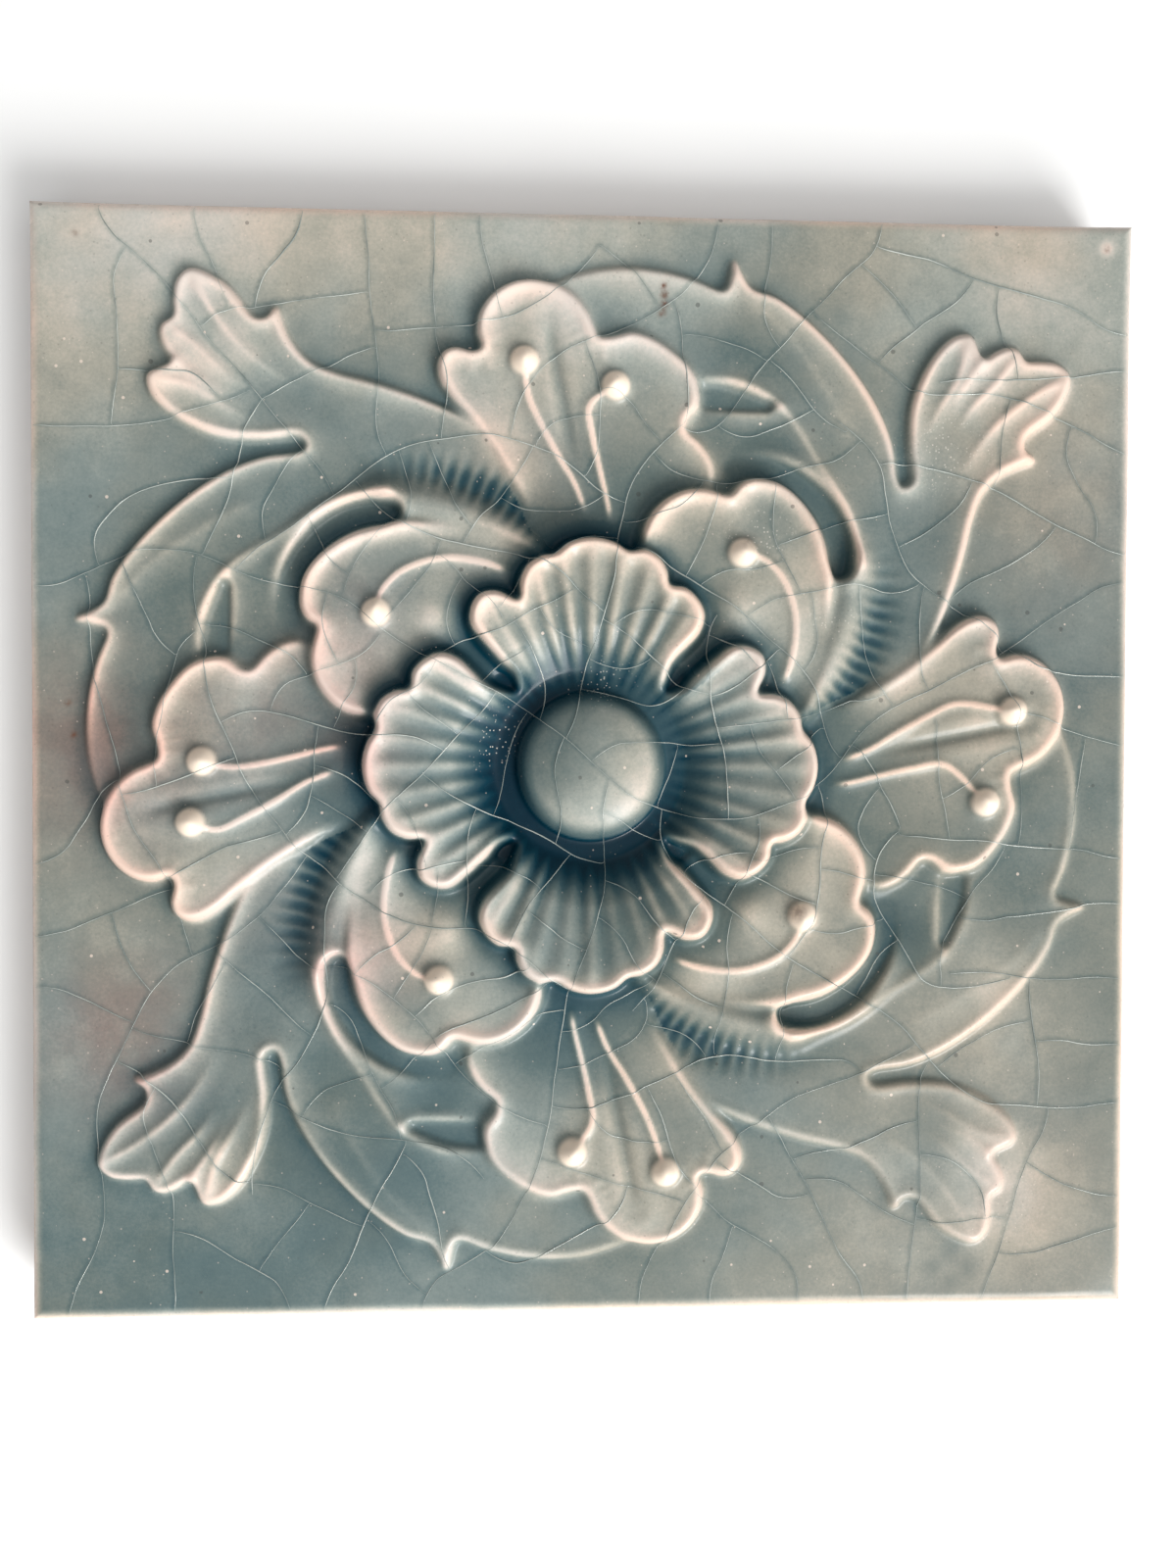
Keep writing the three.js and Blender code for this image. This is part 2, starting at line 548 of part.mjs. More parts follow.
// A set of plane points that refuses one too near to those it holds.
class PointSet {
  constructor() {
    this.points = [];
    this.cells = new Map();
    this.cell = 4;
  }

  add(x, y, spacing) {
    const column = Math.floor(x / this.cell);
    const row = Math.floor(y / this.cell);
    const rings = Math.ceil(spacing / this.cell);
    for (let i = column - rings; i <= column + rings; i += 1) {
      for (let j = row - rings; j <= row + rings; j += 1) {
        for (const p of this.cells.get(`${i},${j}`) ?? []) {
          if (Math.hypot(p.x - x, p.y - y) < spacing) return;
        }
      }
    }
    const point = new THREE.Vector2(x, y);
    this.points.push(point);
    const key = `${column},${row}`;
    this.cells.set(key, [...(this.cells.get(key) ?? []), point]);
  }
}

// True where something laid over the given outline hides it.
function hidden(x, y, upper) {
  return QUARTERS.some((quarter) => {
    const [u, v] = turned(x, y, quarter);
    return upper.some((outline) => outline.depth(u, v) > -WALL_OUT);
  });
}

// Adds points along a path at a distance to one side, where no other stretch of it comes nearer.
function addLine(set, path, offset, upper, step = LINE_STEP) {
  const count = Math.max(2, Math.round(path.length / step));
  for (let i = 0; i <= count; i += 1) {
    const at = path.curve.getPointAt(i / count);
    const along = path.curve.getTangentAt(i / count);
    for (const side of offset === 0 ? [1] : [1, -1]) {
      const x = at.x - along.y * offset * side;
      const y = at.y + along.x * offset * side;
      const reach = path.closed ? path.depth(x, y) : path.nearest(x, y).gap;
      if (Math.abs(reach - offset) > LINE_TOLERANCE) continue;
      for (const quarter of QUARTERS) {
        const [u, v] = turned(x, y, quarter);
        const offBorder = borderDepth(u, v) > -WALL_OUT;
        if (offBorder && !hidden(u, v, upper)) set.add(u, v, LEAST_SPACING);
      }
    }
  }
}

function addCircle(set, radius, step) {
  const count = Math.max(6, Math.round((2 * Math.PI * radius) / step));
  for (let i = 0; i < count; i += 1) {
    const angle = (2 * Math.PI * i) / count;
    set.add(radius * Math.cos(angle), radius * Math.sin(angle), LEAST_SPACING);
  }
}

// Facet corners of the face: along every lip, foot, fold and channel, then spread over the fields.
function facePoints() {
  const set = new PointSet();
  const sides = Math.round(DRAWN_SIDE / GROUND_STEP);
  for (const inset of [0, ARRIS_INSET]) {
    const edge = HALF_SIDE - inset;
    for (let i = 0; i < sides; i += 1) {
      const run = -edge + (2 * edge * i) / sides;
      for (const quarter of QUARTERS) set.add(...turned(run, -edge, quarter), LEAST_SPACING);
    }
  }
  set.add(0, 0, LEAST_SPACING);
  for (const share of [0.45, 0.72, 0.9, 1]) addCircle(set, BOSS_RADIUS * share, 3);
  addCircle(set, CUP_RADIUS, LINE_STEP);
  for (const quarter of QUARTERS) for (const path of stamenSets[quarter]) addAnther(set, path.line[0], quarter);
  const lipLines = [LIP_CREST, -WALL_OUT, 2];
  for (const offset of lipLines) addLine(set, rosette, offset, []);
  for (const offset of [LIP_CREST, -WALL_OUT, 2.8]) addLine(set, bud, offset, [rosette]);
  for (const offset of lipLines) addLine(set, trumpet, offset, [rosette, bud]);
  const laid = [rosette, bud, trumpet];
  for (const offset of lipLines) addLine(set, scroll, offset, laid);
  const slitWalls = [SLIT_HALF_WIDTH, SLIT_HALF_WIDTH + CHANNEL_WALL, 0];
  for (const offset of slitWalls) addLine(set, budSlit, offset, laid, 2);
  const eyeWalls = [EYE_HALF_WIDTH, EYE_HALF_WIDTH + CHANNEL_WALL, 0];
  for (const offset of eyeWalls) addLine(set, leafEye, offset, laid, 1.4);
  for (const path of filaments) for (const offset of [0, 0.9]) addLine(set, path, offset, []);
  for (const offset of [0, 1.5]) addLine(set, trumpetCrease, offset, [rosette, bud]);
  for (const rib of leafRibs) for (const offset of [0, 1.5]) addLine(set, rib, offset, laid);
  for (const path of [leafletFold, leafletEdge, longLeafVein]) addLine(set, path, 0, laid);
  for (const offset of [0, 2.6]) addLine(set, stem, offset, laid);
  for (const offset of [0, 2.2]) addLine(set, ribbedGroove, offset, laid, ribbedGroove.length / GROOVE_RIBS / 2);
  addFlutes(set);
  addField(set, FIELD_STEP, true);
  addField(set, GROUND_STEP, false);
  return set.points;
}

// Two rings of corners round an anther, which lies where its quarter's measuring turn came from.
function addAnther(set, anther, quarter) {
  const back = (QUARTERS.length - quarter) % QUARTERS.length;
  const [x, y] = turned(anther.x, anther.y, back);
  set.add(x, y, LEAST_SPACING);
  for (const [share, sidesRound] of [[0.62, 6], [0.98, 9]]) {
    for (let i = 0; i < sidesRound; i += 1) {
      const angle = (2 * Math.PI * (i + share)) / sidesRound;
      const reach = ANTHER_RADIUS * share;
      set.add(x + reach * Math.cos(angle), y + reach * Math.sin(angle), 0.4);
    }
  }
}

// Crest and trough of every flute, from the cup to the petals' edge.
function addFlutes(set) {
  for (let i = 0; i < 2 * FLUTES; i += 1) {
    const angle = Math.PI / 2 + (Math.PI * i) / FLUTES;
    for (let radius = CUP_RADIUS + 3; radius < BOSS_RADIUS * 3; radius += 3.4) {
      const x = radius * Math.cos(angle);
      const y = radius * Math.sin(angle);
      if (rosette.depth(x, y) > 2.4) set.add(x, y, 0.9 * LEAST_SPACING);
    }
  }
}

// Fills what is left with an even spread, each row shifted by half a step.
function addField(set, step, onOrnament) {
  const rows = Math.floor(HALF_SIDE / (step * 0.87));
  for (let j = -rows; j <= rows; j += 1) {
    for (let i = -rows; i <= rows; i += 1) {
      const x = (i + (j % 2) / 2) * step;
      const y = j * step * 0.87;
      if (Math.max(Math.abs(x), Math.abs(y)) > HALF_SIDE - ARRIS_INSET - step / 3) continue;
      const inOrnament = ornamentDepth(x, y) > -WALL_OUT;
      if (inOrnament === onOrnament) set.add(x, y, 0.62 * step);
    }
  }
}

// Distance inside the flat floors that carry solid glaze, negative on the ornament.
function seatDepth(x, y) {
  const radius = Math.hypot(x, y);
  const cup = Math.min(radius - BOSS_RADIUS, CUP_RADIUS - radius);
  const floors = QUARTERS.flatMap((quarter) => {
    const [u, v] = turned(x, y, quarter);
    return channels.map(({ path, halfWidthAt }) => {
      if (!path.near(u, v, SLIT_HALF_WIDTH)) return -FAR;
      const laid = Math.max(...[trumpet, bud].map((outline) => outline.depth(u, v)));
      const { gap, along } = path.nearest(u, v);
      return Math.min(halfWidthAt(along) - gap, -WALL_OUT - laid);
    });
  });
  return Math.max(-WALL_OUT - ornamentDepth(x, y), cup, ...floors);
}

// Adds a corner wherever a facet's edge enters or leaves a seat, so that no facet overhangs one.
function withSeatEdges(points) {
  const set = new PointSet();
  for (const p of points) set.add(p.x, p.y, 0);
  for (let round = 0; round < SEAT_ROUNDS; round += 1) {
    const corners = set.points.map((at) => ({ at, depth: seatDepth(at.x, at.y) }));
    for (const t of triangulate(set.points)) {
      for (const [a, b] of [[t.a, t.b], [t.b, t.c], [t.c, t.a]]) {
        for (const p of seatCrossings(corners[a], corners[b])) set.add(p.x, p.y, SEAT_SPACING);
      }
    }
  }
  return set.points;
}

// Where the straight way between two corners enters or leaves a seat.
function seatCrossings(a, b) {
  if (Math.max(a.depth, b.depth) + a.at.distanceTo(b.at) / 2 < SEAT_TOLERANCE) return [];
  const stops = [a, b];
  for (let i = 1; i < SEAT_STOPS; i += 1) {
    const at = a.at.clone().lerp(b.at, i / SEAT_STOPS);
    stops.push({ at, depth: seatDepth(at.x, at.y) });
  }
  const deepest = stops.reduce((best, stop) => (stop.depth > best.depth ? stop : best));
  if (deepest.depth < SEAT_TOLERANCE) return [];
  const outside = [a, b].filter((corner) => corner.depth < -SEAT_TOLERANCE);
  return outside.map((corner) => seatEdge(deepest.at, corner.at));
}

// The point on the way from inside a seat to outside it where its edge lies.
function seatEdge(inside, outside) {
  let near = inside;
  let far = outside;
  for (let i = 0; i < SEAT_HALVINGS; i += 1) {
    const middle = near.clone().lerp(far, 0.5);
    if (seatDepth(middle.x, middle.y) > 0) near = middle;
    else far = middle;
  }
  return near;
}

// Triangulates plane points so that no triangle's circle holds another point.
function triangulate(points) {
  const reach = 1e5;
  const corners = [[-reach, -reach], [reach, -reach], [0, reach]];
  const all = [...points, ...corners.map(([x, y]) => new THREE.Vector2(x, y))];
  const first = points.length;
  let triangles = [withCircle(all, first, first + 1, first + 2)];
  for (let i = 0; i < points.length; i += 1) {
    const p = points[i];
    const edges = new Map();
    const kept = [];
    for (const t of triangles) {
      if ((p.x - t.x) ** 2 + (p.y - t.y) ** 2 >= t.square) {
        kept.push(t);
        continue;
      }
      for (const [a, b] of [[t.a, t.b], [t.b, t.c], [t.c, t.a]]) {
        if (!edges.delete(`${b},${a}`)) edges.set(`${a},${b}`, [a, b]);
      }
    }
    for (const [a, b] of edges.values()) kept.push(withCircle(all, a, b, i));
    triangles = kept;
  }
  return triangles.filter((t) => Math.max(t.a, t.b, t.c) < first);
}

// A triangle of three point numbers, with the centre and squared radius of its circle.
function withCircle(points, a, b, c) {
  const bx = points[b].x - points[a].x;
  const by = points[b].y - points[a].y;
  const cx = points[c].x - points[a].x;
  const cy = points[c].y - points[a].y;
  const twice = 2 * (bx * cy - by * cx);
  const ux = (cy * (bx * bx + by * by) - by * (cx * cx + cy * cy)) / twice;
  const uy = (bx * (cx * cx + cy * cy) - cx * (bx * bx + by * by)) / twice;
  return { a, b, c, x: points[a].x + ux, y: points[a].y + uy, square: ux * ux + uy * uy };
}

// Height of the face over the underside, with the tile's rounded arris at its edge.
function faceLevel(x, y) {
  const fromEdge = HALF_SIDE - Math.max(Math.abs(x), Math.abs(y));
  if (fromEdge < ARRIS_INSET) return SLAB_THICKNESS - ARRIS_DROP * (1 - fromEdge / ARRIS_INSET);
  return SLAB_THICKNESS + reliefHeight(x, y);
}

// The clay: face facets, walls and a flat underside, as one closed surface.
function clayGeometry() {
  const onEdge = (p) => Math.max(Math.abs(p.x), Math.abs(p.y)) > HALF_SIDE - ARRIS_INSET - 1;
  const scattered = facePoints().map((p, i) => {
    if (onEdge(p)) return p;
    return new THREE.Vector2(p.x + JITTER * Math.sin(i * 12.9), p.y + JITTER * Math.cos(i * 78.2));
  });
  const points = withSeatEdges(scattered);
  const triangles = triangulate(points);
  const corners = points.map((p) => [...onTile(p.x, p.y), faceLevel(p.x, p.y)]);
  const faces = triangles.map((t) => [t.a, t.b, t.c]);
  const rim = openEdges(faces);
  const ring = (level, inset) => {
    const start = corners.length;
    const share = (HALF_SIDE - inset) / HALF_SIDE;
    for (const [a] of rim) corners.push([...onTile(points[a].x * share, points[a].y * share), level]);
    return start;
  };
  const low = ring(BACK_BEVEL, 0);
  const foot = ring(0, BACK_BEVEL);
  rim.forEach(([a, b], i) => {
    const j = (i + 1) % rim.length;
    faces.push([b, a, low + i], [b, low + i, low + j]);
    faces.push([low + j, low + i, foot + i], [low + j, foot + i, foot + j]);
  });
  const outline = rim.map((edge, i) => new THREE.Vector2(corners[foot + i][0], corners[foot + i][1]));
  for (const [a, b, c] of THREE.ShapeUtils.triangulateShape(outline, [])) {
    faces.push([foot + c, foot + b, foot + a]);
  }
  const geometry = new THREE.BufferGeometry();
  geometry.setAttribute("position", new THREE.Float32BufferAttribute(corners.flat(), 3));
  geometry.setIndex(faces.flat());
  return geometry;
}

// Edges that only one face uses, in order round the rim.
function openEdges(faces) {
  const open = new Map();
  for (const [a, b, c] of faces) {
    for (const [from, to] of [[a, b], [b, c], [c, a]]) {
      if (!open.delete(`${to},${from}`)) open.set(`${from},${to}`, [from, to]);
    }
  }
  const next = new Map([...open.values()]);
  const loop = [];
  let at = next.keys().next().value;
  while (next.has(at)) {
    const to = next.get(at);
    loop.push([at, to]);
    next.delete(at);
    at = to;
  }
  return loop;
}

const library = await Module();
library.setup();

function toSolid(geometry) {
  const bare = geometry.clone();
  bare.deleteAttribute("normal");
  bare.deleteAttribute("uv");
  const merged = mergeVertices(bare, 1e-4);
  const vertProperties = new Float32Array(merged.getAttribute("position").array);
  const triVerts = new Uint32Array(merged.getIndex().array);
  return new library.Manifold(new library.Mesh({ numProp: 3, vertProperties, triVerts }));
}

function toGeometry(solid) {
  const mesh = solid.getMesh();
  const geometry = new THREE.BufferGeometry();
  geometry.setAttribute("position", new THREE.BufferAttribute(mesh.vertProperties, 3));
  geometry.setIndex(new THREE.BufferAttribute(mesh.triVerts, 1));
  geometry.computeVertexNormals();
  return geometry;
}

// One dovetail key groove, wider at its root than at its mouth.
function keyGroove(y) {
  const mouth = KEY_GROOVE_MOUTH / 2;
  const root = KEY_GROOVE_ROOT / 2;
  const below = 1;
  const section = new THREE.Shape([
    new THREE.Vector2(-mouth, -below),
    new THREE.Vector2(mouth, -below),
    new THREE.Vector2(mouth, 0),
    new THREE.Vector2(root, KEY_GROOVE_DEPTH),
    new THREE.Vector2(-root, KEY_GROOVE_DEPTH),
    new THREE.Vector2(-mouth, 0),
  ]);
  const length = TILE_SIDE - 2 * KEY_BORDER;
  const geometry = new THREE.ExtrudeGeometry(section, { depth: length, bevelEnabled: false });
  geometry.translate(0, 0, -length / 2);
  geometry.rotateX(Math.PI / 2);
  geometry.rotateZ(Math.PI / 2);
  geometry.translate(0, y, 0);
  return geometry;
}

function biscuitGeometry() {
  let solid = toSolid(clayGeometry());
  for (let i = 0; i < KEY_GROOVES; i += 1) {
    const y = (i - (KEY_GROOVES - 1) / 2) * KEY_GROOVE_PITCH;
    solid = solid.subtract(toSolid(keyGroove(y)));
  }
  return toGeometry(solid);
}

// Closed outlines where a field over the tile crosses a level, thinned to a tolerance.
function contours(field, level) {
  const cells = Math.ceil(DRAWN_SIDE / CONTOUR_CELL);
  const cell = DRAWN_SIDE / cells;
  const at = (i) => -HALF_SIDE + i * cell;
  const values = Array.from({ length: cells + 1 }, (_, i) =>
    Array.from({ length: cells + 1 }, (_, j) => field(at(i), at(j)) - level),
  );
  const next = new Map();
  const cross = (i, j, k, l) => {
    const t = values[i][j] / (values[i][j] - values[k][l]);
    const key = i + j < k + l ? `${i},${j},${k},${l}` : `${k},${l},${i},${j}`;
    return { key, x: at(i) + t * (at(k) - at(i)), y: at(j) + t * (at(l) - at(j)) };
  };
  for (let i = 0; i < cells; i += 1) {
    for (let j = 0; j < cells; j += 1) {
      const ring = [[i, j], [i + 1, j], [i + 1, j + 1], [i, j + 1]];
      const leaves = [];
      const enters = [];
      ring.forEach(([a, b], n) => {
        const [c, d] = ring[(n + 1) % 4];
        if (values[a][b] > 0 && values[c][d] <= 0) leaves.push(cross(a, b, c, d));
        if (values[a][b] <= 0 && values[c][d] > 0) enters.push(cross(a, b, c, d));
      });
      leaves.forEach((point, n) => next.set(point.key, [point, enters[n].key]));
    }
  }
  const loops = [];
  while (next.size) {
    const loop = [];
    let key = next.keys().next().value;
    while (next.has(key)) {
      const [point, to] = next.get(key);
      next.delete(key);
      loop.push(new THREE.Vector2(point.x, point.y));
      key = to;
    }
    loops.push(thinned(loop));
  }
  return loops.filter((loop) => Math.abs(THREE.ShapeUtils.area(loop)) > LEAST_POCKET);
}

// Drops points that lie within the tolerance of the line through those kept.
function thinned(loop) {
  const keep = (points) => {
    const first = points[0];
    const last = points.at(-1);
    const line = new THREE.Line3(new THREE.Vector3(first.x, first.y, 0), new THREE.Vector3(last.x, last.y, 0));
    let far = 0;
    let split = 0;
    for (let i = 1; i + 1 < points.length; i += 1) {
      const p = new THREE.Vector3(points[i].x, points[i].y, 0);
      const distance = line.closestPointToPoint(p, true, new THREE.Vector3()).distanceTo(p);
      if (distance > far) {
        far = distance;
        split = i;
      }
    }
    if (far < CONTOUR_TOLERANCE) return [first];
    return [...keep(points.slice(0, split + 1)), ...keep(points.slice(split))];
  };
  const half = Math.floor(loop.length / 2);
  return [...keep(loop.slice(0, half + 1)), ...keep([...loop.slice(half), loop[0]])];
}

// Glaze over the flat ground: a sheet that stops just short of the ornament's foot.
function groundGlazeGeometry() {
  const edge = HALF_SIDE - GLAZE_EDGE_INSET;
  const corner = (quarter) => new THREE.Vector2(...onTile(...turned(-edge, edge, quarter)));
  const sheet = new THREE.Shape(QUARTERS.map(corner));
  const foot = -WALL_OUT - GLAZE_CLEARANCE;
  for (const loop of contours(ornamentDepth, foot)) {
    sheet.holes.push(new THREE.Path(loop.map((p) => new THREE.Vector2(...onTile(p.x, p.y)))));
  }
  const geometry = new THREE.ExtrudeGeometry(sheet, { depth: GLAZE_SHEET, bevelEnabled: false });
  return geometry.translate(0, 0, SLAB_THICKNESS + BOND_LINE);
}

// Glaze pooled round the foot of the boss.
function cupGlazeGeometry() {
  const [inner, outer] = onTile(BOSS_RADIUS + GLAZE_CLEARANCE, CUP_RADIUS - GLAZE_CLEARANCE);
  const low = SLAB_THICKNESS + CUP_FLOOR + BOND_LINE;
  const high = low + GLAZE_POOL;
  const profile = [[inner, low], [outer, low], [outer, high], [inner, high], [inner, low]];
  const geometry = new THREE.LatheGeometry(profile.map(([x, y]) => new THREE.Vector2(x, y)), CUP_FACETS);
  return geometry.rotateX(Math.PI / 2);
}

// Glaze pooled in a channel: a strip along a span of its path, as wide as the floor leaves room for.
function channelGlazeGeometry({ path, halfWidthAt, span }, quarter) {
  const [start, end] = span;
  const steps = Math.max(3, Math.round((path.length * (end - start)) / POOL_STEP));
  const left = [];
  const right = [];
  for (let i = 0; i <= steps; i += 1) {
    const share = start + ((end - start) * i) / steps;
    const halfWidth = halfWidthAt(share) - GLAZE_CLEARANCE;
    const at = path.curve.getPointAt(share);
    const along = path.curve.getTangentAt(share);
    left.push([at.x - along.y * halfWidth, at.y + along.x * halfWidth]);
    right.unshift([at.x + along.y * halfWidth, at.y - along.x * halfWidth]);
  }
  const outline = [...left, ...right].map(([x, y]) => new THREE.Vector2(...onTile(...turned(x, y, quarter))));
  const shape = new THREE.Shape(outline);
  const geometry = new THREE.ExtrudeGeometry(shape, { depth: GLAZE_POOL, bevelEnabled: false });
  return geometry.translate(0, 0, SLAB_THICKNESS + CHANNEL_FLOOR + BOND_LINE);
}

// Finishes
const thinGlazeOverClay = new THREE.MeshStandardMaterial({ color: 0xb7bdb4, roughness: 0.25, metalness: 0 });
const groundGlaze = new THREE.MeshStandardMaterial({ color: 0x7f979b, roughness: 0.15, metalness: 0 });
const pooledGlaze = new THREE.MeshStandardMaterial({ color: 0x1f4258, roughness: 0.12, metalness: 0 });

function addPiece(group, name, geometry, material) {
  const mesh = new THREE.Mesh(geometry, material);
  mesh.name = name;
  group.add(mesh);
}

const tile = new THREE.Group();
tile.name = "relief_tile";
addPiece(tile, "biscuit_body", biscuitGeometry(), thinGlazeOverClay);
addPiece(tile, "ground_glaze", groundGlazeGeometry(), groundGlaze);
addPiece(tile, "cup_glaze", cupGlazeGeometry(), pooledGlaze);
for (const quarter of QUARTERS) {
  for (const channel of channels) {
    const geometry = channelGlazeGeometry(channel, quarter);
    addPiece(tile, `${channel.name}_${QUARTER_NAMES[quarter]}`, geometry, pooledGlaze);
  }
}

export default tile;
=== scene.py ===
import math

import bpy
import numpy as np
from bpy.props import FloatProperty, FloatVectorProperty, IntProperty, PointerProperty
from mathutils import Matrix, Vector
from mathutils.geometry import delaunay_2d_cdt


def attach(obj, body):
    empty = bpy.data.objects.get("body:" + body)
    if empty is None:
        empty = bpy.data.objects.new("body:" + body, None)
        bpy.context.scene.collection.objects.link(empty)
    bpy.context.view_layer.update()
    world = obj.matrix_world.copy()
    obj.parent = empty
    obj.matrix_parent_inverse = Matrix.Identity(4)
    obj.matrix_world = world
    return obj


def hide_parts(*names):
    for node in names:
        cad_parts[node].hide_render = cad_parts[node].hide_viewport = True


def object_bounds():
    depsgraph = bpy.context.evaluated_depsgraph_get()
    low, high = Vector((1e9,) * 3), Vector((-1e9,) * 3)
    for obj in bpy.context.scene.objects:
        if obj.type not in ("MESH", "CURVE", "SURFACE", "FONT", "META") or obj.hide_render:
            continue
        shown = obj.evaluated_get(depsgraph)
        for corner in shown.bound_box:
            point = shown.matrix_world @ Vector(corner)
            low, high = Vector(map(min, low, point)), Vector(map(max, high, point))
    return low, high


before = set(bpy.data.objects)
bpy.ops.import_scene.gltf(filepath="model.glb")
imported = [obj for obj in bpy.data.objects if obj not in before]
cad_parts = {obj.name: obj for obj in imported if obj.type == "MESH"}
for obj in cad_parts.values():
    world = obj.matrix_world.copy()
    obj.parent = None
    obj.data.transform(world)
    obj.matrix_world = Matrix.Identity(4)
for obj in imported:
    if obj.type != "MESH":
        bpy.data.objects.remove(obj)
CAD_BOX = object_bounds()

bl_info = {
    "name": "Relief tile",
    "version": (1, 0, 0),
    "blender": (4, 5, 0),
    "location": "3D View > Sidebar > Relief tile",
    "description": "Builds a glazed relief tile with a scrolling flower ornament",
    "category": "Object",
}

MM = 0.001
TILE_SIDE = (CAD_BOX[1].x - CAD_BOX[0].x) / MM
HALF_SIDE = TILE_SIDE / 2
SLAB_THICKNESS = 9.5
PATCH_FLOOR = 8.6
BODY = "root"
RELIEF_SLOT = "thin_glaze_over_clay"
QUARTERS = range(4)
FLOWER_SIDES = ("north", "west", "south", "east")
CORNERS = ("north_west", "south_west", "south_east", "north_east")
FAR = 99.0

# The relief, in millimetres over the flat ground, as the clay was pressed. A lip or a crest is given by its
# height, its top's width and its flanks' reach. A rise, a fade or an opening is given by where it starts and
# ends, as a share of its line's length or in millimetres from the tile's centre.
CREST_ROUND = 0.55
LIP_ROUND = 0.45
LIP_OUTSIDE = 0.5
LIP_CREST = 0.6
WALL_OUT = 0.85
WALL_IN = 0.15
OUTLINE_MARGIN = 3
SOFT_CORNER = 0.5
SOFT_CORNER_RISE = (20, 95)

SCROLL_FIELD = 1.15
SCROLL_LIP = (1.0, 0.5, 2.6)
LONG_LEAF_RISE_UP = (-4, 12)
LONG_LEAF_RISE_IN = (-60, -50)
SUNK_LIP_SHARE = 0.25
LEAF_RIB = (0.9, 0.5, 2.0)
LEAF_RIB_RISE = (-0.05, 0.1)
LEAF_RIB_FADE = (0.45, 1)
LEAF_VEIN = 0.4
LEAF_VEIN_REACH = 1.5
LEAF_VEIN_RISE = (0, 0.15)
LEAF_VEIN_FADE = (0.8, 1)
LEAFLET_FOLD = (0.85, 0.6, 2.4)
LEAFLET_FOLD_FADE = (0.85, 1)
LEAFLET_FOLD_LOSS = 0.6
LEAFLET_EDGE_HEIGHT = 0.425
LEAFLET_EDGE_WIDTH = 0.8
LEAFLET_EDGE_FADE = (0.6, 1)
LEAF_HOLLOW = 0.55
LEAF_HOLLOW_AT = (-43.5, 21.7)
LEAF_HOLLOW_REACH = 5
LEAF_HOLLOW_STRETCH = 1.3
STEM_RIDGE = 1.9
STEM_WIDTH = 2.9
RIBBED_GROOVE_DEPTH = 1.35
RIBBED_GROOVE_WIDTH = 2.6
RIBBED_GROOVE_RISE = (0, 0.2)
RIBBED_GROOVE_DEEPENS = (0.15, 0.8)
SHALLOW_GROOVE_SHARE = 0.35
GROOVE_RIBS = 17
GROOVE_RIB_HEIGHT = 0.4
GROOVE_RIB_REACH = 0.85 * RIBBED_GROOVE_WIDTH
GROOVE_RIB_RISE = (0.05, 0.5)
GROOVE_STROKE_REACH = 0.8 * RIBBED_GROOVE_WIDTH
GROOVE_STROKE_RISE = (0.02, 0.75)
LEAST_STROKE = 0.25

CHANNEL_FLOOR = 0.15
CHANNEL_WALL = 1.1
CHANNEL_END = (0.85, 1)
BANK_AWAY = 1.2
BANK_WIDTH = 1.3
BANK_FADE = (0.55, 1)
SLIT_HALF_WIDTH = 1.1
SLIT_BANK = 0.7
SLIT_SHALLOW_END = 0.5
EYE_HALF_WIDTH = 1.0
EYE_WIDENS = (-0.1, 0.7)

TRUMPET_FIELD = 2.25
TRUMPET_THROAT = 0.9
TRUMPET_OPENS = (33, 57)
TRUMPET_LIP = (1.1, 0.5, 2.4)
TRUMPET_LIP_RISE = (34, 42)
TRUMPET_RUFFLE = 0.22
TRUMPET_RUFFLES = 110
RUFFLE_INSET = 2.3
RUFFLE_WIDTH = 0.9
RUFFLE_RISE = (47, 58)
TRUMPET_CREASE = 0.6
CREASE_WIDTH = 0.6
CREASE_RISE = (0, 0.15)
CREASE_FADE = (0.6, 1)
CREASE_BANK = 0.24
CREASE_BANK_AWAY = 2.2
CREASE_BANK_WIDTH = 1.3

BUD_FIELD = 2.75
BUD_THROAT = 1.1
BUD_OPENS = (22, 35)
BUD_LIP = (1.5, 0.8, 2.8)
BUD_LIP_RISE = (25.5, 32)
BUD_LIP_FADE = (-27, -17)
BUD_LIP_LOSS = 0.9
BUD_CHEEK = 1.0
BUD_CHEEK_AT = (-21.8, 19.8)
BUD_CHEEK_REACH = 3
BUD_VALLEY_DEPTH = 0.5
BUD_VALLEY_WIDTH = 1.6
BUD_VALLEY_RISE = (0, 0.3)

CUP_FLOOR = 0.2
CUP_RADIUS = 12.6
CUP_WALL = 4
DISH_RADII = (14.6, 16.4, 19, 22, 26, 30)
DISH_HEIGHTS = (1.5, 2.7, 4.0, 4.8, 5.4, 5.8)
ROSETTE_LIP = (1.05, 0.6, 1.8)
FLUTES = 44
FLUTE_HEIGHT = 0.6
FLUTE_SHARPNESS = 1.3
FLUTE_MIDDLE = 0.4
FLUTE_STRENGTHS = (0.45, 1.35)
FLUTE_GROWS = (14, 22)
INNER_FLUTE_SHARE = 0.55
FLUTE_INSET = (0.6, 2.6)
STREAK_MIDDLE = 0.9
STREAK_RISE = 3
STREAK_FADE = (15, 27)
BOSS_RADIUS = 10.2
BOSS_SHOULDER = 1.2
BOSS_SHOULDER_TURN = 4
BOSS_DOME = 4.3

STAMEN_MARGIN = 4
FILAMENT_HEIGHT = 0.7
FILAMENT_WIDTH = 0.5
FILAMENT_FADE = (0.88, 1)
ANTHER_RADIUS = 1.95
ANTHER_HEIGHT = 1.9
ANTHER_GLAZE_EDGE = (0.75, 1.15)

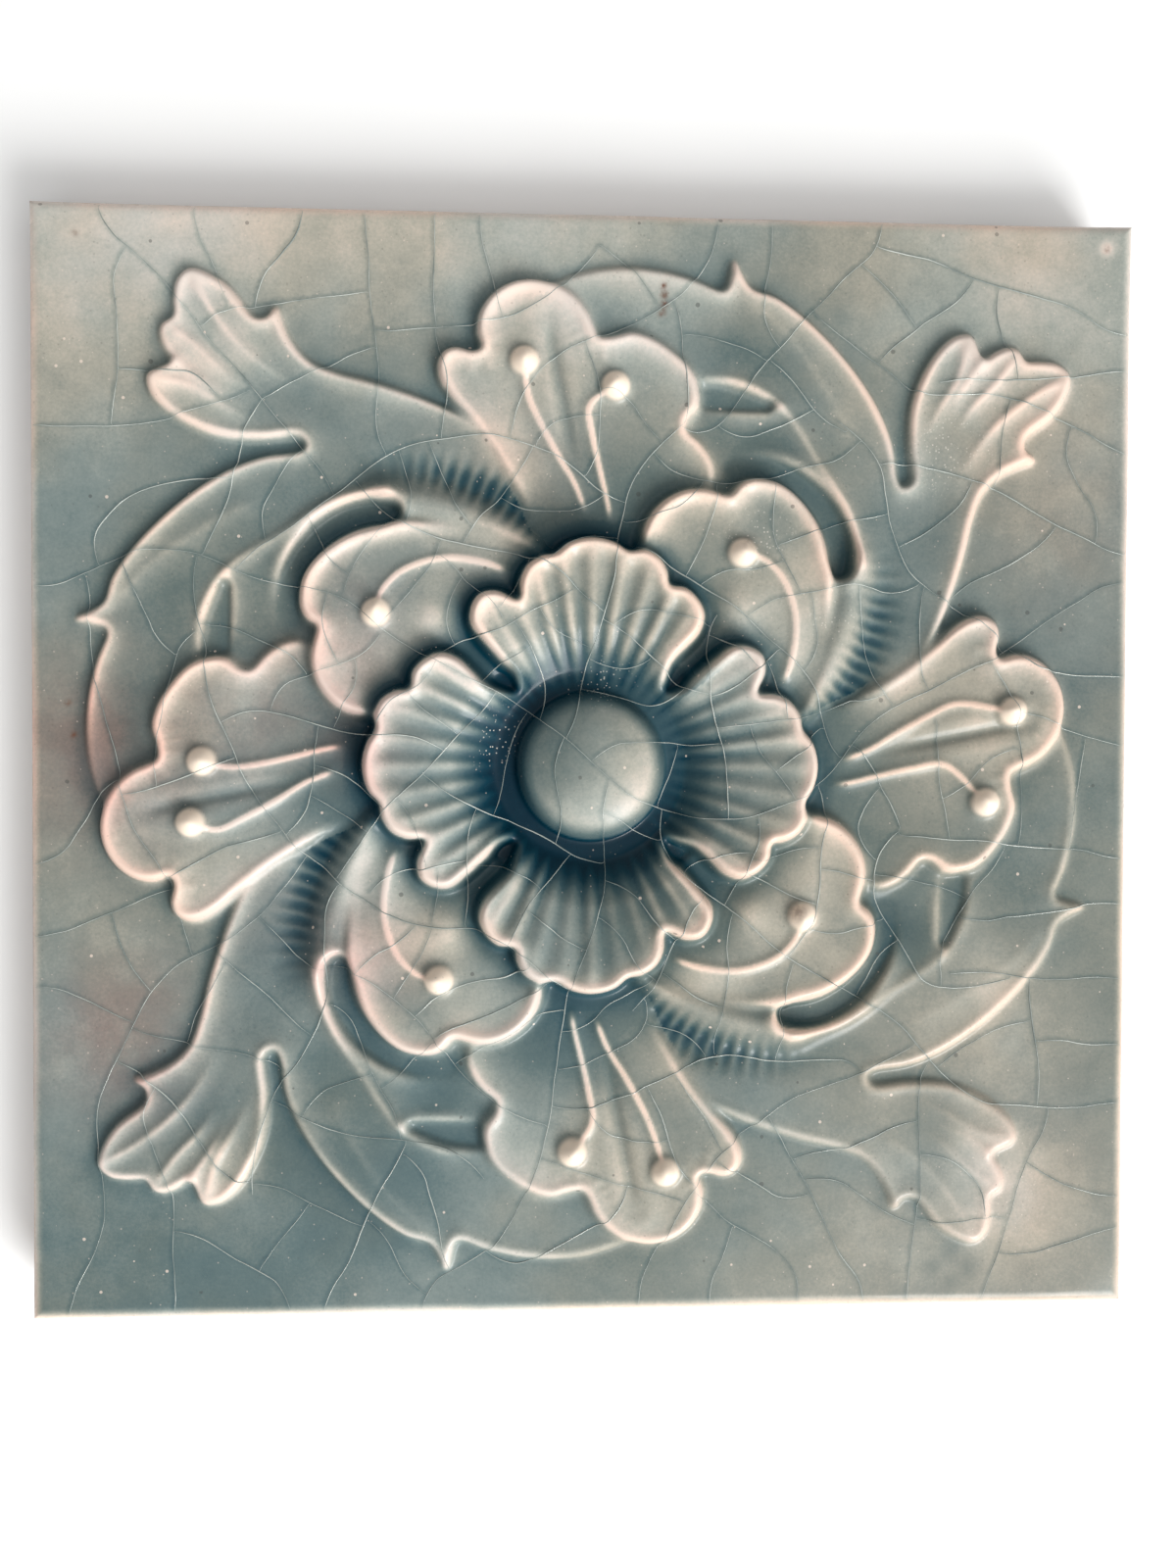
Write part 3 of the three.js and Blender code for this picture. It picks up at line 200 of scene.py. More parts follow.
# The size of each group as a share of its drawn size, which is larger because it stood nearer the eye
SCROLL_SCALE = 0.988
TRUMPET_SCALE = 0.981
BUD_SCALE = 0.976
ROSETTE_SCALE = 0.964
STAMEN_SCALE = 0.972

# Drawing of one quarter, in millimetres from the tile's centre
SCROLL = [
    (-12, 44), (-16, 47.2), (-22, 50), (-30, 52.6), (-35, 53.8), (-38.6, 55.2), (-41, 57.6), (-42.4, 60.2),
    (-43.4, 62.6), (-44.6, 61.2), (-46.3, 61.2), (-49.5, 65), (-52, 66.7), (-55, 67.6), (-56.7, 66),
    (-57.1, 63.5), (-57.2, 61), (-58.6, 60.2), (-59, 58.6), (-58.2, 56.6), (-57.2, 55), (-58.5, 54.3),
    (-60.6, 53.3), (-60.4, 51), (-58, 48.3), (-54, 46), (-50, 44.8), (-45, 44.6), (-40, 44.9), (-39.3, 43.6),
    (-40.5, 42.9), (-45, 42.2), (-50, 40.2), (-56, 36.2), (-62, 30.4), (-65.4, 25.6), (-66.6, 22.2),
    (-69, 20.6), (-70.4, 19.9), (-68, 19.2), (-66.2, 18.4), (-67.6, 14), (-68.7, 9), (-69, 4), (-68.3, -1),
    (-66, -6), (-60, -8), (-40, 4), (-20, 12), (-5, 20), (0, 34), (-4, 42),
]
LEAF_RIBS = [
    [(-54.8, 67), (-52, 62), (-48, 57), (-43, 53.2), (-38, 51)],
    [(-57.5, 59.5), (-54, 57), (-50, 53.2), (-46, 51)],
    [(-60, 52.6), (-55, 51.6), (-50, 48.8), (-45, 46.3)],
    [(-57.3, 55.2), (-53.5, 52.4), (-49, 49.8)],
]
LONG_LEAF_VEIN = [(-66, 21), (-60, 27.5), (-52, 33), (-44, 37)]
LEAFLET_FOLD_LINE = [
    (-28, 37.6), (-34, 36.4), (-39, 34), (-43, 31.3), (-46.5, 29.2), (-49.8, 26.7), (-52.2, 23.5),
    (-53.6, 20), (-54, 16),
]
LEAFLET_EDGE = [(-50, 26.4), (-49, 23.5), (-49.2, 19.5), (-49.6, 16)]
LEAF_EYE = [(-50.3, 24.6), (-50.9, 21.5), (-51.4, 18.3), (-51.6, 15.2)]
STEM = [(-28, 36.6), (-21, 35.6), (-14, 33.2), (-8, 29.6)]
RIBBED_GROOVE = [(-34, 39.3), (-27, 40.9), (-20.5, 40.2), (-14, 38), (-8.3, 34.8), (-3.5, 31)]
BUD_SLIT = [
    (-28, 34.7), (-30, 34.9), (-33, 34.2), (-36, 32.5), (-38.5, 30), (-40.4, 27), (-41.4, 24), (-41.6, 20),
]
TRUMPET = [
    (-17, 48.3), (-19.5, 51), (-21, 53.5), (-21.3, 55.5), (-20.5, 57.2), (-18.8, 57.8), (-16.8, 57.3),
    (-15.4, 57.7), (-15.9, 60), (-15.6, 62.5), (-14, 65), (-11.5, 66.7), (-8.5, 67.3), (-5.2, 66.6),
    (-2.6, 65), (-0.8, 62.8), (0.2, 60.6), (0.9, 59.5), (3, 59.6), (5.5, 60.2), (8.5, 59.3), (11.3, 57.5),
    (13.6, 55.3), (14.7, 52.8), (14.8, 50.5), (13.3, 48.3), (13.2, 46.9), (15, 45.3), (16.6, 43.2),
    (17.3, 40.5), (15, 36), (8, 31), (0, 29), (-6, 31), (-10, 38), (-14, 44.5),
]
TRUMPET_CREASE_LINE = [(-6.5, 62), (-5.2, 56), (-4, 50), (-2.8, 44), (-1.6, 39)]
BUD = [
    (-27, 33.8), (-29.5, 33), (-32.5, 32.2), (-35.2, 30.9), (-37.8, 28.9), (-39.6, 26.5), (-40.3, 24),
    (-40.2, 21.8), (-39.3, 20.3), (-38, 19.2), (-38.4, 17.3), (-38.8, 15), (-38.4, 12.5), (-37, 10),
    (-34.8, 8), (-32, 6.9), (-28, 6.5), (-22, 9), (-15, 12), (-10, 17), (-7, 24), (-8, 29), (-14, 32.2),
    (-20, 33.6),
]
BUD_VALLEY = [(-27, 33.6), (-22, 32.8), (-18, 32), (-14, 31), (-10, 28.5)]
BUD_STAMEN = [(-30, 21.2), (-29.3, 24), (-27, 26.6), (-24, 28.1), (-20, 28.9), (-15, 28.3), (-11, 27)]
LEFT_FILAMENT = [(-9, 52), (-7.5, 48.5), (-5, 44), (-2.5, 40), (-0.5, 35)]
RIGHT_FILAMENT = [(-0.3, 50.5), (0.2, 46), (1.2, 41.5), (2.3, 37), (2.7, 34)]
ANTHERS = {
    "north": ((-9.5, 56.5), (3.3, 53.3)),
    "west": ((-8, 55.5), (0.5, 54)),
    "south": ((-10.7, 57.5), (2.5, 54.5)),
    "east": ((-8, 60.2), (5, 56.3)),
}
PETAL = [
    (-12.6, 14.7), (-15.1, 17.4), (-16.9, 19.9), (-16.8, 22.1), (-15.6, 23.9), (-13.5, 24.3), (-11.5, 23.6),
    (-10.3, 23.2), (-10.1, 25.6), (-9.1, 27.9), (-7, 29.2), (-5.2, 29.6), (-3.4, 31.1), (0, 31.9),
    (3.2, 31.2), (5, 30.1), (7, 30.2), (9.2, 29.2), (10.4, 27.2), (10.8, 25.4), (13, 25), (14.8, 23.4),
    (15.7, 21.3), (15.1, 19), (13.4, 17), (11.8, 15.3), (10.7, 12.9), (10.4, 10.6), (12.7, 10.7),
]

# The glaze's surface, in millimetres. A swell is given by its width and its height.
POOL_LEVEL = 0.55
POOL_EDGE = 0.25
SURFACE_SOFTNESS = 0.45
GLAZE_SWELLS = ((7, 0.05), (1.6, 0.006))
RIM_WIDTH = 1.8
RIM_DROP = 0.7
STEEPEST_RIM = 0.999
BARE_EDGE = (0.15, 0.4)

# The glaze's thickness as its colour shows it, from 0 where the clay shows through to its deepest. A run is
# given by how far round a point it looks, and by how much crests lose and hollows gain.
DEEPEST = 2.4
GLAZE_ON_FLAT = 0.66
GLAZE_RUNS = ((0.75, 1.0, 0.06), (2.2, 0.38, 0.1), (5.0, 0.0, 0.12))
RUN_START = 0.3
PATCH_SIZE = 3.5
PATCH_MIDDLE = 0.75
PATCH_SWING = 0.3
PATCH_LIMITS = (0.25, 1.2)
EVEN_CORNER_RISE = (50, 110)
# Painted shade on slopes that face away from the light at the lower right: the light's side in the plane,
# the strength per unit slope, its softness and its limits
SHADE_LIGHT_SIDE = (0.8, -0.6)
SLOPE_SHADE = 0.28
SLOPE_SHADE_SOFTNESS = 0.9
SLOPE_SHADE_LIMITS = (-0.8, 1.5)
MOTTLE = 0.08
MOTTLE_RISE = (0.2, 0.8)
CUP_POOL = 1.4
CUP_POOL_FADE = (BOSS_RADIUS - 1, 1.95 * BOSS_RADIUS)
POOL_LEAN = 0.65
POOL_LEANS_TO = math.radians(225)
FLUTE_STREAKS = 0.5
BOSS_EDGE = (BOSS_RADIUS - 0.2, BOSS_RADIUS + 0.3)
# The boss's glaze: painted shade, darker towards its upper left; how much thinner it lies; and its rim's
# depth and rise
BOSS_SHADE_LEAN = 0.3
BOSS_THINNER = 0.08
BOSS_RIM = 0.9
BOSS_RIM_RISE = (0.74, 1.04)
# Painted shadow round the rosette's foot, heaviest on its upper left: its strength, how far out it lies, its
# width, the share it keeps all round, and the side where it is heaviest
ROSETTE_FOOT_SHADOW = 0.5
ROSETTE_FOOT_SHADOW_AWAY = 0.9
ROSETTE_FOOT_SHADOW_WIDTH = 1.4
ROSETTE_FOOT_SHADOW_EVEN = 0.55
ROSETTE_FOOT_SHADOW_SIDE = math.radians(126)
ROSETTE_SHADE = 0.22
ROSETTE_SHADE_REACH = 5
ROSETTE_SHADE_END = (-0.8, 0.3)
# How much thinner the glaze lies on the fields of a kind of piece, and near the rosette; on the buds near
# the rosette the paler glaze is partly painted highlight
THIN_ON_FIELDS = (("scroll", -0.14, -0.14), ("trumpet", 0.05, -0.2), ("bud", 0.0, 0.16))
FIELD_RISE = (32, 46)
FIELD_SOFTNESS = 0.8
THIN_ON_RIDGES = 0.38
RIDGE_SOFTNESS = 0.9
THIN_ON_FILAMENTS = 0.7
GROOVE_STROKES = 0.85
CRACK_SHADE = 0.16
CRACK_SHADE_WIDTH = 0.2
CRACK_SHADE_SHIFT = (-0.2, 0.16)
EDGE_GLAZE_START = 0.1

# Soft clouds over the face, with the pale ones along the top edge and at the lower right partly painted
# glare of the room's light: plane place, reach, and how much deeper the glaze is there
GLAZE_CLOUDS_AND_GLARE = (
    (-72, 72, 26, -0.32), (-50, 76, 16, -0.26), (-8, 76, 24, -0.36), (62, 78, 26, -0.34),
    (58, 48, 16, -0.18), (50, -50, 17, -0.24), (60, -60, 9, -0.32), (57, -32, 9, -0.3), (57, 6, 8, -0.24),
    (5, -57, 8, -0.14), (74, -40, 14, 0.1), (76, -76, 40, -0.04), (0, -76, 14, 0.06), (-45, -74, 20, 0.2),
    (-74, -66, 24, 0.2), (-74, -43, 12, -0.1), (-50, -58, 8, -0.26), (-33, -54, 14, 0.26),
    (-35, 45, 12, 0.08), (-24, 0, 8, 0.1), (0, -23, 9, 0.16), (15, 25, 10, 0.1), (72, 72.4, 1, -0.5),
    (51, -68, 1.5, 0.16), (48.4, -70.4, 1.3, 0.14), (53.6, -70.9, 1.4, 0.14), (51.2, -72.6, 1.2, 0.14),
    (42, -22, 5, 0.25),
)
# Patches of painted pink reflection, mostly on the west side: plane place, reach, and strength
PINK_REFLECTIONS = (
    (-66, 2, 12, 1.0), (-63, -38, 11, 0.9), (-42, 6, 10, 0.5), (-31, 2, 6, 0.9), (-33, 19, 8, 0.6),
    (-30, -27, 7, 0.5), (-40, -22, 8, 0.5), (-10, 40, 12, 0.2), (70, 30, 22, 0.2), (60, -60, 24, 0.12),
)
# Brown marks of the firing, and places where pale dust sits in the glaze, in the same way
RUST = (
    (9.8, 65.8, 0.5, 1), (9.9, 64.6, 0.5, 1), (9.9, 63.4, 0.5, 1), (9.6, 62.2, 0.5, 1),
    (28.2, -19.8, 1.1, 0.5), (-70.8, 8.3, 0.5, 0.8), (-70, 4, 0.45, 0.9), (-69.6, 71.5, 0.4, 0.7),
    (72, 72.4, 0.5, 0.8), (21.5, 30.5, 1.4, 0.3),
)
DUST = (
    (-12.8, 4.5, 2.5, 0.6), (2, 11.5, 3, 0.45), (-14, 2, 2, 0.4), (50, 44, 5, 0.5), (23, 31.5, 4, 0.5),
    (33, 20, 3.5, 0.4), (58, -60, 9, 0.2),
)

# Crazing, in millimetres and radians
EDGE_STEP = 0.6
CRACK_BORDER = 0.6
CRACK_STEP = 0.5
CRACK_SPOTS = 240
SHORTEST_CRACK = 3
BROKEN_LENGTHS = (8, 25)
FIELD_GROWS = (25, 72)
START_SWING = 0.55
START_BEND = 0.012
BEND_KEPT = 0.96
BEND_CHANGE = 0.006
WANDER = 0.03
MEETING_REACH = 5
MEETING_SWING = 1.2
MEETING_PULL = 0.12
THREAD_STEPS = 1.2
THREAD_TAPER = 2.5
THREAD_END_SHARE = 0.35
THREAD_SWELL = 0.15
THREAD_SWELL_RATES = (0.3, 0.8)
THREAD_SWELL_STARTS = (0, 6)
THREAD_WIDTHS = (0.55, 1.1)

# Sides and back of the clay body, in millimetres
SIDE_STEPS = 40
SIDE_WAVES = 6
CORNER_SOFTENING = 0.18
BACK_BEVEL = 0.8
BEVEL_ROUNDNESS = 1.6
SIDE_LEVELS = (0.0, 0.25, 0.8, 2.6, 4.4, 6.2, 7.6, 8.6)

# Stage: the camera's angles in degrees, its sizes in millimetres, and the rest in metres. A bright patch of
# the room is given by its direction, the angles in degrees where it starts and ends to fade, and its level.
CAMERA_ANGLES = (0.98, 2.84, -0.195)
CAMERA_SHIFT = (0.3, 2.5, 176.3)
CAMERA_LEVEL = 9.8
CAMERA_LENS = 29.25
CAMERA_SENSOR = 36
LIGHT_LEVEL = math.pi ** 2
WINDOW_AT = (0.6, -0.9, 0.74)
WINDOW_SIDE = 0.55
SKY_PATCHES = (
    ((0.45, -0.55, 0.7), 10, 50, 1.7),
    ((-0.35, 0.5, 0.79), 5, 30, 0.5),
)
FLOOR_REACH = 0.7
FLOOR_NOISE = (3, 2, 0.5)
FLOOR_DARKER = 0.98
FLOOR_ROUGHNESS = 0.9

# Finishes, in metres. A noise is its cells per metre, its detail and its roughness, and a span is where a
# value starts and ends to count. Specks are their cells per metre, the share of cells with a speck, and its
# size in a cell. A bump is its strength and its depth. The glaze's noises have a swing, in parts of its
# deepest, and its specks a tone and a strength. Its tones are given with the thickness where each shows.
GLAZE_TONES = (
    ("crest", 0.0),
    ("thin", 0.2),
    ("film", 0.42),
    ("ground", 0.62),
    ("deep_ground", 0.9),
    ("hollow", 1.3),
    ("pool", 1.9),
    ("deepest", DEEPEST),
)
NOISE_SPAN = (0.3, 0.7)
GLAZE_NOISES = (
    ((22, 3, 0.55), 0.03),
    ((110, 4, 0.6), 0.03),
    ((420, 4, 0.65), 0.015),
    ((2200, 3, 0.7), 0.022),
)
GLAZE_SPECKS = (
    ("speck", (620, 0.02, 0.2), 0.5),
    ("speck", (2100, 0.04, 0.3), 0.2),
    ("crest", (900, 0.01, 0.2), 0.6),
    ("crest", (2300, 0.02, 0.25), 0.3),
)
# Painted veil of reflected light over the right of the face: where it starts and ends across, in metres, and
# how much of it shows
RIGHT_VEIL_SPAN = (-0.02, 0.07)
RIGHT_VEIL_MOST = 0.45
DRIFT_NOISE = (34, 3, 0.55)
DRIFT_SPAN = (0.36, 0.64)
MARK_SPAN = (0.35, 0.6)
# Painted pink reflection: the noise that breaks it up, and the least of it that is kept
PINK_REFLECTION_NOISE = (110, 4, 0.6)
PINK_REFLECTION_LEAST = 0.4
RUST_NOISE = (1400, 3, 0.5)
RUST_LEAST = 0.3
DUST_SPECKS = (2300, 0.4, 0.25)
BARE_NOISE = (300, 3, 0.5)
BARE_SWING = 0.25
BARE_SPAN = (0.45, 0.6)
BARE_STAIN = 0.35
BARE_ROUGHNESS = 0.8
GLOSS_NOISE = (160, 3, 0.5)
GLAZE_ROUGHNESS = (0.2, 0.32)
PEEL_NOISE = (900, 2, 0.5)
PEEL_HEIGHT = 0.2
GLAZE_BUMP = (0.25, 0.0001)
GRIME_NOISE = (140, 3, 0.5)
GRIME_SPAN = (0.4, 0.62)
CRACK_ROUGHNESS = (0.15, 0.35)
CLAY_NOISE = (60, 5, 0.6)
CLAY_STAIN_SPAN = (0.42, 0.72)
GRAIN_NOISE = (2600, 3, 0.7)
GRAIN_HEIGHT = 0.4
FLECK_NOISE = (1500, 2, 0.5)
FLECK_SPAN = (0.66, 0.74)
FLECK_STRENGTH = 0.35
SIDE_STAIN = 0.6
SIDE_RUN_NOISE = (55, 2, 0.5)
SIDE_RUN_SPAN = (0.5, 0.72)
SIDE_RUN_ENDS = (0.0088, 0.0035)
SIDE_RUN_EDGE = 0.0003
SIDE_RUN_TONE_NOISE = (200, 2, 0.5)
SIDE_SPECKS = (450, 0.05, 0.3)
SIDE_SPECK_STRENGTH = 0.6
MORTAR_NOISE = (70, 6, 0.7)
MORTAR_SPAN = (0.52, 0.6)
MORTAR_LEVELS = (0.0012, 0.0022)
MORTAR_STRENGTH = 0.7
MORTAR_HEIGHT = 0.6
SIDE_ROUGHNESS = (0.85, 0.2)
CLAY_BUMP = (0.6, 0.0004)


def ease(a, b, x):
    """Smooth step from 0 at a to 1 at b."""
    t = np.clip((x - a) / (b - a), 0.0, 1.0)
    return t * t * (3 - 2 * t)


def at_least(share, strength):
    """A strength from 0 to 1 raised to run from a share to 1."""
    return share + (1 - share) * strength


def bump(distance, width):
    """A rounded bump of unit height at zero."""
    return np.exp(-((distance / width) ** 2))


def crest(distance, height, width, reach):
    """A crest with a sharp top and hollow flanks."""
    return height * (CREST_ROUND * bump(distance, width) + (1 - CREST_ROUND) * np.exp(-distance / reach))


def lip(depth, height, width, reach):
    """A lip just inside an outline: steep outside, with a narrow crest and a long inner flank."""
    inner = np.maximum(0, depth - LIP_CREST)
    shape = LIP_ROUND * bump(inner, width) + (1 - LIP_ROUND) * np.exp(-inner / reach)
    return height * ease(-LIP_OUTSIDE, LIP_CREST, depth) * shape


def over(under, height, depth):
    """Lays a surface over what is under it, with a leaning wall at its outline."""
    cover = ease(-WALL_OUT, WALL_IN, depth)
    return under * (1 - cover) + height * cover


def turned(field, quarter):
    """A field over the whole grid, turned by quarters to its next place round the tile."""
    return np.rot90(field, -quarter)


def smooth_line(points, closed=False, step=0.8):
    """Points along the smooth curve through a few drawn ones."""
    p = np.array(points, float)
    count = len(p)
    spans = count if closed else count - 1
    line = []
    for i in range(spans):
        if closed:
            a, b, c, d = p[i - 1], p[i], p[(i + 1) % count], p[(i + 2) % count]
        else:
            b, c = p[i], p[i + 1]
            a = p[i - 1] if i else 2 * b - c
            d = p[i + 2] if i + 2 < count else 2 * c - b
        knots = np.cumsum([0] + [np.linalg.norm(v) ** 0.5 for v in (b - a, c - b, d - c)])
        steps = max(2, math.ceil(np.linalg.norm(c - b) / step))
        t = (knots[1] + (knots[2] - knots[1]) * np.arange(0, 1, 1 / steps))[:, None]
        first = [lerp(u, v, knots[n], knots[n + 1], t) for n, (u, v) in enumerate(((a, b), (b, c), (c, d)))]
        second = [lerp(first[n], first[n + 1], knots[n], knots[n + 2], t) for n in range(2)]
        line.append(lerp(second[0], second[1], knots[1], knots[2], t))
    if not closed:
        line.append(p[-1:])
    return np.vstack(line)


def lerp(a, b, start, end, t):
    """Straight blend from a at the start to b at the end."""
    return ((end - t) * a + (t - start) * b) / (end - start)


class Grid:
    """Square grid of points over the tile, in millimetres, rows running towards +Y."""

    def __init__(self, pitch):
        self.count = 2 * round(HALF_SIDE / pitch) + 1
        self.axis = np.linspace(-HALF_SIDE, HALF_SIDE, self.count)
        self.pitch = self.axis[1] - self.axis[0]
        self.x, self.y = np.meshgrid(self.axis, self.axis)
        self.radius = np.hypot(self.x, self.y)
        self.angle = np.arctan2(self.y, self.x)

    def window(self, line, margin):
        """The rows and columns that a line spans, with a margin."""
        low = np.searchsorted(self.axis, line.min(axis=0) - margin)
        high = np.searchsorted(self.axis, line.max(axis=0) + margin)
        return slice(low[1], high[1]), slice(low[0], high[0])

    def along(self, points, scale, closed=False, margin=8):
        """Distance of each grid point to a drawn line, and how far along it the nearest point lies.

        For a closed line the distance is the depth inside it, negative outside.
        """
        line = smooth_line(np.array(points, float) * scale, closed)
        rows, cols = self.window(line, margin)
        x, y = self.x[rows, cols], self.y[rows, cols]
        ends = np.vstack([line, line[:1]]) if closed else line
        best = np.full(x.shape, FAR ** 2)
        place = np.zeros(x.shape)
        inside = np.zeros(x.shape, bool)
        runs = np.cumsum([0, *np.linalg.norm(np.diff(ends, axis=0), axis=1)])
        for i, (a, b) in enumerate(zip(ends, ends[1:])):
            step = b - a
            reach = ((x - a[0]) * step[0] + (y - a[1]) * step[1]) / (step @ step)
            t = np.clip(reach, 0, 1)
            square = (x - a[0] - t * step[0]) ** 2 + (y - a[1] - t * step[1]) ** 2
            nearer = square < best
            best[nearer] = square[nearer]
            place[nearer] = (runs[i] + t[nearer] * (runs[i + 1] - runs[i])) / runs[-1]
            if closed and a[1] != b[1]:
                crosses = (a[1] > y) != (b[1] > y)
                inside ^= crosses & (x < a[0] + (y - a[1]) * step[0] / step[1])
        gap = np.full(self.x.shape, FAR)
        share = np.zeros(self.x.shape)
        gap[rows, cols] = np.sqrt(best)
        share[rows, cols] = place
        if not closed:
            return gap, share
        depth = -gap
        depth[rows, cols] = np.where(inside, gap[rows, cols], -gap[rows, cols])
        return depth, share

    def blurred(self, field, width):
        """The field smoothed by a bell of the given width in millimetres."""
        margin = math.ceil(3 * width / self.pitch) + 1
        padded = np.pad(field, margin, mode="edge")
        waves = np.fft.fftfreq(padded.shape[0]) * 2 * math.pi * width / self.pitch
        bell = np.exp(-0.5 * waves ** 2)
        smooth = np.real(np.fft.ifft2(np.fft.fft2(padded) * bell[:, None] * bell[None, :]))
        return smooth[margin:-margin, margin:-margin]

    def sampled(self, field, points):
        """Values of a field at plane points, between the grid's own."""
        at = (np.asarray(points) + HALF_SIDE) / self.pitch
        at = np.clip(at, 0, self.count - 1.001)
        col, row = np.floor(at).astype(int).T
        u, v = (at - np.floor(at)).T
        low = field[row, col] * (1 - u) + field[row, col + 1] * u
        high = field[row + 1, col] * (1 - u) + field[row + 1, col + 1] * u
        return low * (1 - v) + high * v


def scroll_height(grid):
    """Acanthus scroll of one quarter: its corner leaf, long leaf, leaflet and stem."""
    depth, _ = grid.along(SCROLL, SCROLL_SCALE, closed=True, margin=OUTLINE_MARGIN)
    x, y = grid.x, grid.y
    free = np.minimum(1, ease(*LONG_LEAF_RISE_UP, y) + ease(*LONG_LEAF_RISE_IN, x))
    ridges = lip(depth, *SCROLL_LIP) * at_least(SUNK_LIP_SHARE, free)
    for rib in LEAF_RIBS:
        gap, along = grid.along(rib, SCROLL_SCALE)
        ridges += crest(gap, *LEAF_RIB) * (1 - ease(*LEAF_RIB_FADE, along)) * ease(*LEAF_RIB_RISE, along)
    gap, along = grid.along(LONG_LEAF_VEIN, SCROLL_SCALE)
    vein = LEAF_VEIN * np.exp(-gap / LEAF_VEIN_REACH)
    ridges += vein * ease(*LEAF_VEIN_RISE, along) * (1 - ease(*LEAF_VEIN_FADE, along))
    gap, along = grid.along(LEAFLET_FOLD_LINE, SCROLL_SCALE)
    ridges += crest(gap, *LEAFLET_FOLD) * (1 - LEAFLET_FOLD_LOSS * ease(*LEAFLET_FOLD_FADE, along))
    gap, along = grid.along(LEAFLET_EDGE, SCROLL_SCALE)
    edge = LEAFLET_EDGE_HEIGHT * bump(gap, LEAFLET_EDGE_WIDTH)
    ridges += edge * (1 - ease(*LEAFLET_EDGE_FADE, along))
    hollow_x, hollow_y = LEAF_HOLLOW_AT
    from_hollow = np.hypot((x - hollow_x) / LEAF_HOLLOW_STRETCH, y - hollow_y)
    height = SCROLL_FIELD - LEAF_HOLLOW * bump(from_hollow, LEAF_HOLLOW_REACH)
    height += STEM_RIDGE * bump(grid.along(STEM, SCROLL_SCALE)[0], STEM_WIDTH)
    gap, along = grid.along(RIBBED_GROOVE, SCROLL_SCALE)
    deepening = at_least(SHALLOW_GROOVE_SHARE, ease(*RIBBED_GROOVE_DEEPENS, along))
    hollow = RIBBED_GROOVE_DEPTH * deepening * ease(*RIBBED_GROOVE_RISE, along)
    wave = np.cos(2 * math.pi * along * GROOVE_RIBS)
    rib = GROOVE_RIB_HEIGHT * wave * ease(*GROOVE_RIB_RISE, along)
    height += rib * bump(gap, GROOVE_RIB_REACH) - hollow * bump(gap, RIBBED_GROOVE_WIDTH)
    strokes = at_least(LEAST_STROKE, 0.5 - 0.5 * wave)
    strokes = strokes * bump(gap, GROOVE_STROKE_REACH) * ease(*GROOVE_STROKE_RISE, along)
    cover = ease(-WALL_OUT, WALL_IN, depth)
    return height * cover, ridges * cover, depth, strokes * cover


def channelled(height, gap, along, half_width, bank, shallow_end):
    """A surface with a flat-floored channel sunk along a line, and raised banks beside it."""
    bank_line = bump(gap - half_width - BANK_AWAY, BANK_WIDTH) * (1 - ease(*BANK_FADE, along))
    wall = ease(half_width, half_width + CHANNEL_WALL, gap)
    sunk = np.minimum(1, wall + (1 - wall) * shallow_end * ease(*CHANNEL_END, along))
    return (height + bank * bank_line) * sunk + CHANNEL_FLOOR * (1 - sunk)


def trumpet_height(grid):
    """Trumpet flower of one quarter, seen from the side, with its centre crease."""
    depth, round_it = grid.along(TRUMPET, TRUMPET_SCALE, closed=True, margin=OUTLINE_MARGIN)
    height = TRUMPET_THROAT + (TRUMPET_FIELD - TRUMPET_THROAT) * ease(*TRUMPET_OPENS, grid.y)
    ridges = lip(depth, *TRUMPET_LIP) * ease(*TRUMPET_LIP_RISE, grid.y)
    ruffle = np.cos(2 * math.pi * round_it * TRUMPET_RUFFLES) * bump(depth - RUFFLE_INSET, RUFFLE_WIDTH)
    height += TRUMPET_RUFFLE * ruffle * ease(*RUFFLE_RISE, grid.y)
    gap, along = grid.along(TRUMPET_CREASE_LINE, TRUMPET_SCALE)
    fade = 1 - ease(*CREASE_FADE, along)
    height -= TRUMPET_CREASE * bump(gap, CREASE_WIDTH) * ease(*CREASE_RISE, along) * fade
    height += CREASE_BANK * bump(gap - CREASE_BANK_AWAY, CREASE_BANK_WIDTH) * fade
    return height, ridges, depth


def bud_height(grid):
    """Half-open bud of one quarter, with turned lips and a round cheek."""
    depth, _ = grid.along(BUD, BUD_SCALE, closed=True, margin=OUTLINE_MARGIN)
    height = BUD_THROAT + (BUD_FIELD - BUD_THROAT) * ease(*BUD_OPENS, grid.radius)
    turned_lip = ease(*BUD_LIP_RISE, grid.radius) * (1 - BUD_LIP_LOSS * ease(*BUD_LIP_FADE, grid.x))
    ridges = lip(depth, *BUD_LIP) * turned_lip
    cheek_x, cheek_y = BUD_CHEEK_AT
    height += BUD_CHEEK * bump(np.hypot(grid.x - cheek_x, grid.y - cheek_y), BUD_CHEEK_REACH)
    gap, along = grid.along(BUD_VALLEY, BUD_SCALE)
    height -= BUD_VALLEY_DEPTH * bump(gap, BUD_VALLEY_WIDTH) * ease(*BUD_VALLEY_RISE, along)
    return height, ridges, depth


